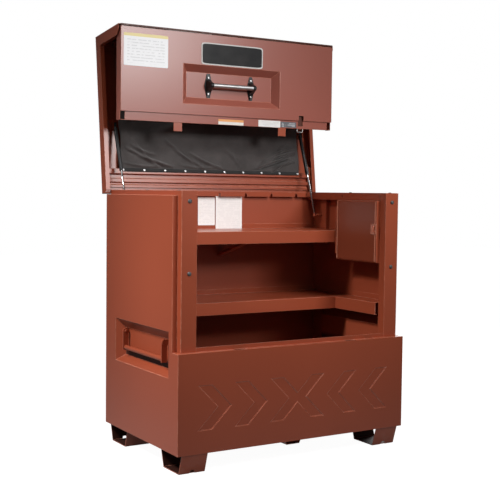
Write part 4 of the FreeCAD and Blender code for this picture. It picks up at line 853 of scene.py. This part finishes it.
def plateOn(name, outline, y, place, body, material, thick=0.0004, lean=0.0, curl=0.0, corner=22.0):
    # a thin sheet with rounded corners, its front towards -Y: rings step in from a rim whose point is
    # centre + (half - inset) * sign(cos) * |cos| ^ (1 / corner), and the same with sin; the last ring is
    # its middle
    x0, x1, z0, z1 = outline
    half = np.array([(x1 - x0) / 2, (z1 - z0) / 2])
    angle = np.linspace(0, math.tau, sheets["around"], endpoint=False) + math.pi / 4
    turn = np.stack([np.cos(angle), np.sin(angle)], axis=-1)
    rim = np.sign(turn) * np.abs(turn) ** (1.0 / corner)
    inset = np.append(np.array(sheets["insets"]), half.min())
    reach = np.maximum(half[None, :] - inset[:, None], 0.0)
    reach[-1] = 0.0
    flat = np.array([(x0 + x1) / 2, (z0 + z1) / 2]) + reach[None] * rim[:, None, :]
    u = (flat[..., 0] - x0) / (x1 - x0)
    v = (flat[..., 1] - z0) / (z1 - z0)
    depth = np.where(np.arange(len(inset)) == 0, 0.0, -thick) + lean * v - curl * np.abs(2 * u - 1) ** 5
    points = place(flat[..., 0], y + depth, flat[..., 1])
    piece = surface(name, points, material, body, wrapU=True,
                    uv=np.stack([u, v], axis=-1), uvName="label", smooth=False)
    share = piece.data.attributes.new("inset", "FLOAT", "POINT")
    share.data.foreach_set("value", np.tile(inset, len(angle)))
    weld(piece.data, False)


def onDoor(name, face, material, **shape):
    # the outline is taken back to the shut door
    x0, x1, z0, z1 = plates[name]
    up = box["doorShift"][1]
    plateOn(name, (x0, x1, z0 - up, z1 - up), face - sheets["off"], openDoor, "door", material, **shape)


def makePlates():
    onDoor("door_label", box["doorFace"], printed["label_paper_yellow_band"])
    onDoor("door_plate", box["doorFace"], platePaint, thick=0.0012, corner=7.0)
    onDoor("strip_label_a", box["stripFace"], printed["label_paper_orange_band"])
    onDoor("strip_label_b", box["stripFace"], printed["label_paper_plain"])
    onDoor("strip_label_c", box["stripFace"], printed["label_paper_dark"])
    wall = box["backWall"] - sheets["wallOff"]
    sheet = printed["instruction_paper"]
    plateOn("wall_sheet_a", plates["wall_sheet_a"], wall, onBody, "body", sheet, lean=0.0022, curl=0.0010)
    wall -= 0.0002     # so that the two never lie in one plane
    plateOn("wall_sheet_b", plates["wall_sheet_b"], wall, onBody, "body", sheet, lean=0.0020, curl=0.0012)


makeHandle()
makeScrews()
makeLockLoop()
makePlates()
print("door fittings made")


# small parts on the body; a profile is radius and height along the axis
stops = {
    "sides": 32,
    "x": 0.547,
    "heights": (1.167, 0.859),
    "profile": [(0, 0.0002), (0.0092, 0.0002), (0.0096, -0.0008), (0.0094, -0.0022), (0.0082, -0.0042),
                (0.0062, -0.0054), (0.0034, -0.0060), (0, -0.0061)],
}


def makeStops():
    # rubber bumpers on the fronts of the posts
    x = np.array([-1, 1, -1, 1]) * stops["x"]
    base = onBody(x, box["postFace"], np.repeat(stops["heights"], 2))
    turned("post_bumpers", (0, 1, 0), base, stops["profile"], stops["sides"], stopRubber,
           "body")


rests = {
    "sides": 28,
    "x": 0.571,
    "depths": (0.0075, -0.3055),
    "top": 1.212,
    "profile": [(0, -0.0002), (0.0070, -0.0002), (0.0072, 0.0008), (0.0064, 0.0019), (0.0042, 0.0025),
                (0, 0.0027)],
}


def makeLidRests():
    # low rubber buttons on the side rails, where the shut lid comes down
    x = np.array([-1, -1, 1, 1]) * rests["x"]
    base = onBody(x, np.tile(rests["depths"], 2), rests["top"])
    turned("lid_rests", (0, 0, 1), base, rests["profile"], rests["sides"], stopRubber,
           "body")


bolts = {
    "sides": 24,
    "x": 0.5925,
    "y": -0.010,                 # the lifting handles' middle
    "reach": 0.200 - 0.0045,     # from there to a head
    "z": 0.553,
    "profile": [(0, 0.0), (0.0078, 0.0), (0.0082, -0.0008), (0.0070, -0.0030), (0.0040, -0.0042),
                (0, -0.0045)],
}


def makePivotHeads():
    # domed bolt heads inside the lifting handles' legs
    for side, sign in (("left", -1), ("right", 1)):
        for end, way in (("front", -1), ("rear", 1)):
            base = onBody(sign * bolts["x"], bolts["y"] + way * bolts["reach"], bolts["z"])[None]
            turned("handle_bolt_%s_%s" % (side, end), (0, way, 0), base, bolts["profile"], bolts["sides"],
                   brown["powder"], "body")


makeStops()
makeLidRests()
makePivotHeads()
print("body fittings made")


# stage, lamps and camera
studio = {
    "floorHalf": 14.0,
    "floorPaint": 0.20,
    "floorGlow": (0.964, 0.99),      # near and far; seen by the camera and in reflections only
    "glowReach": (1.5, 4.5),
    "glowMirrored": (0.31, 0.08),    # near and far share of the floor's glow that reflections see
    "mirrorReach": (1.2, 4.0),
    "sky": 0.17,                     # light from all round
    "skySeen": 1.0,                  # a white background
    "skyMirrored": 0.12,
}


def raysSeen(tree):
    # the output that is 1 for rays from the camera, also through glass, and the one for reflections
    rays = tree.nodes.new("ShaderNodeLightPath").outputs
    straight = {0: rays["Is Camera Ray"], 1: rays["Is Transmission Ray"]}
    return put(tree, "Math", straight, operation="MAXIMUM"), rays["Is Glossy Ray"]


def makeStage():
    half = studio["floorHalf"]
    corners = [(-half, -half, 0), (half, -half, 0), (half, half, 0), (-half, half, 0)]
    mesh = bpy.data.meshes.new("studio_floor")
    mesh.from_pydata(corners, [], [(0, 1, 2, 3)])
    floor = bpy.data.objects.new("studio_floor", mesh)
    bpy.context.scene.collection.objects.link(floor)
    material = bpy.data.materials.new("pale_floor")
    material.use_nodes = True
    tree = material.node_tree
    tree.nodes.clear()
    out = tree.nodes.new("ShaderNodeOutputMaterial")
    direct, mirrored = raysSeen(tree)
    paint = put(tree, "BsdfDiffuse", {"Color": (studio["floorPaint"],) * 3 + (1,)})
    reach = put(tree, "VectorMath", {0: put(tree, "TexCoord", output="Object")}, "Value", operation="LENGTH")
    glow = spread(tree, reach, *studio["glowReach"], *studio["floorGlow"])
    share = spread(tree, reach, *studio["mirrorReach"], *studio["glowMirrored"])
    seen = put(tree, "Math", {0: direct, 1: times(tree, mirrored, share)}, operation="MAXIMUM")
    light = put(tree, "Emission", {"Color": (1, 1, 1, 1), "Strength": times(tree, seen, glow)})
    feed(tree, out, {"Surface": put(tree, "AddShader", {0: paint, 1: light})})
    mesh.materials.append(material)


def makeWorld():
    world = bpy.data.worlds.new("studio")
    bpy.context.scene.world = world
    world.use_nodes = True
    tree = world.node_tree
    tree.nodes.clear()
    out = tree.nodes.new("ShaderNodeOutputWorld")
    direct, mirrored = raysSeen(tree)
    strength = spread(tree, mirrored, 0.0, 1.0, studio["sky"], studio["skyMirrored"])
    strength = spread(tree, direct, 0.0, 1.0, strength, studio["skySeen"])
    feed(tree, out, {"Surface": put(tree, "Background", {"Color": (1, 1, 1, 1), "Strength": strength})})


# place, the point it looks at, width, height, watts and spread in degrees
lamps = {
    "high_left_softbox": ((-3.5, -0.45, 4.0), (-0.61, -0.28, 0.74), 0.9, 0.9, 10.5, 32.0),
    "right_back_fill": ((4.0, 2.2, 1.6), (0.3, 0.1, 0.8), 1.8, 1.8, 110.0, 180.0),
    "door_softbox": ((1.40, -4.3, 2.76), (-0.3, 0.1, 1.84), 1.3, 0.9, 9.2, 46.0),
    "front_top_softbox": ((0.4, -3.1, 3.5), (0.14, -0.1, 1.02), 2.2, 1.2, 7.7, 38.0),
}


def softbox(name, place, target, width, height, power, degrees):
    lamp = bpy.data.lights.new(name, "AREA")
    lamp.shape = "RECTANGLE"
    lamp.size = width
    lamp.size_y = height
    lamp.energy = power
    lamp.spread = math.radians(degrees)
    holder = bpy.data.objects.new(name, lamp)
    holder.location = place
    holder.rotation_mode = "QUATERNION"
    holder.rotation_quaternion = (Vector(target) - Vector(place)).to_track_quat("-Z", "Y")
    bpy.context.scene.collection.objects.link(holder)


# in front and to the left of the box
view = {
    "place": (-2.5503, -4.1020, 1.2051),     # from the body's middle
    "yaw": math.radians(31.552),
    "pitch": math.radians(-3.177),
    "roll": math.radians(0.690),
    "sensor": 36.0,
    "focal": 1005.94,                        # for a picture this wide
    "width": 500.0,
    "shift": (0.0003, -0.0026),
}


def makeCamera():
    yaw, pitch, roll = view["yaw"], view["pitch"], view["roll"]
    ahead = Vector((math.sin(yaw) * math.cos(pitch), math.cos(yaw) * math.cos(pitch), math.sin(pitch)))
    right = Vector((math.cos(yaw), -math.sin(yaw), 0.0))
    up = right.cross(ahead)
    rightRolled = math.cos(roll) * right + math.sin(roll) * up
    upRolled = math.cos(roll) * up - math.sin(roll) * right
    camera = bpy.data.objects.new("camera", bpy.data.cameras.new("camera"))
    camera.data.sensor_width = view["sensor"]
    camera.data.lens = view["sensor"] * view["focal"] / view["width"]
    camera.data.shift_x, camera.data.shift_y = view["shift"]
    camera.data.dof.use_dof = False
    turn = Matrix((rightRolled, upRolled, -ahead)).transposed()
    x, y, z = view["place"]
    camera.matrix_world = Matrix.Translation((x, y + box["bodyY"], z)) @ turn.to_4x4()
    bpy.context.scene.collection.objects.link(camera)
    bpy.context.scene.camera = camera


makeStage()
makeWorld()
for name, settings in lamps.items():
    softbox(name, *settings)
makeCamera()
bpy.context.scene.view_settings.view_transform = "Standard"
print("stage, lamps and camera made")
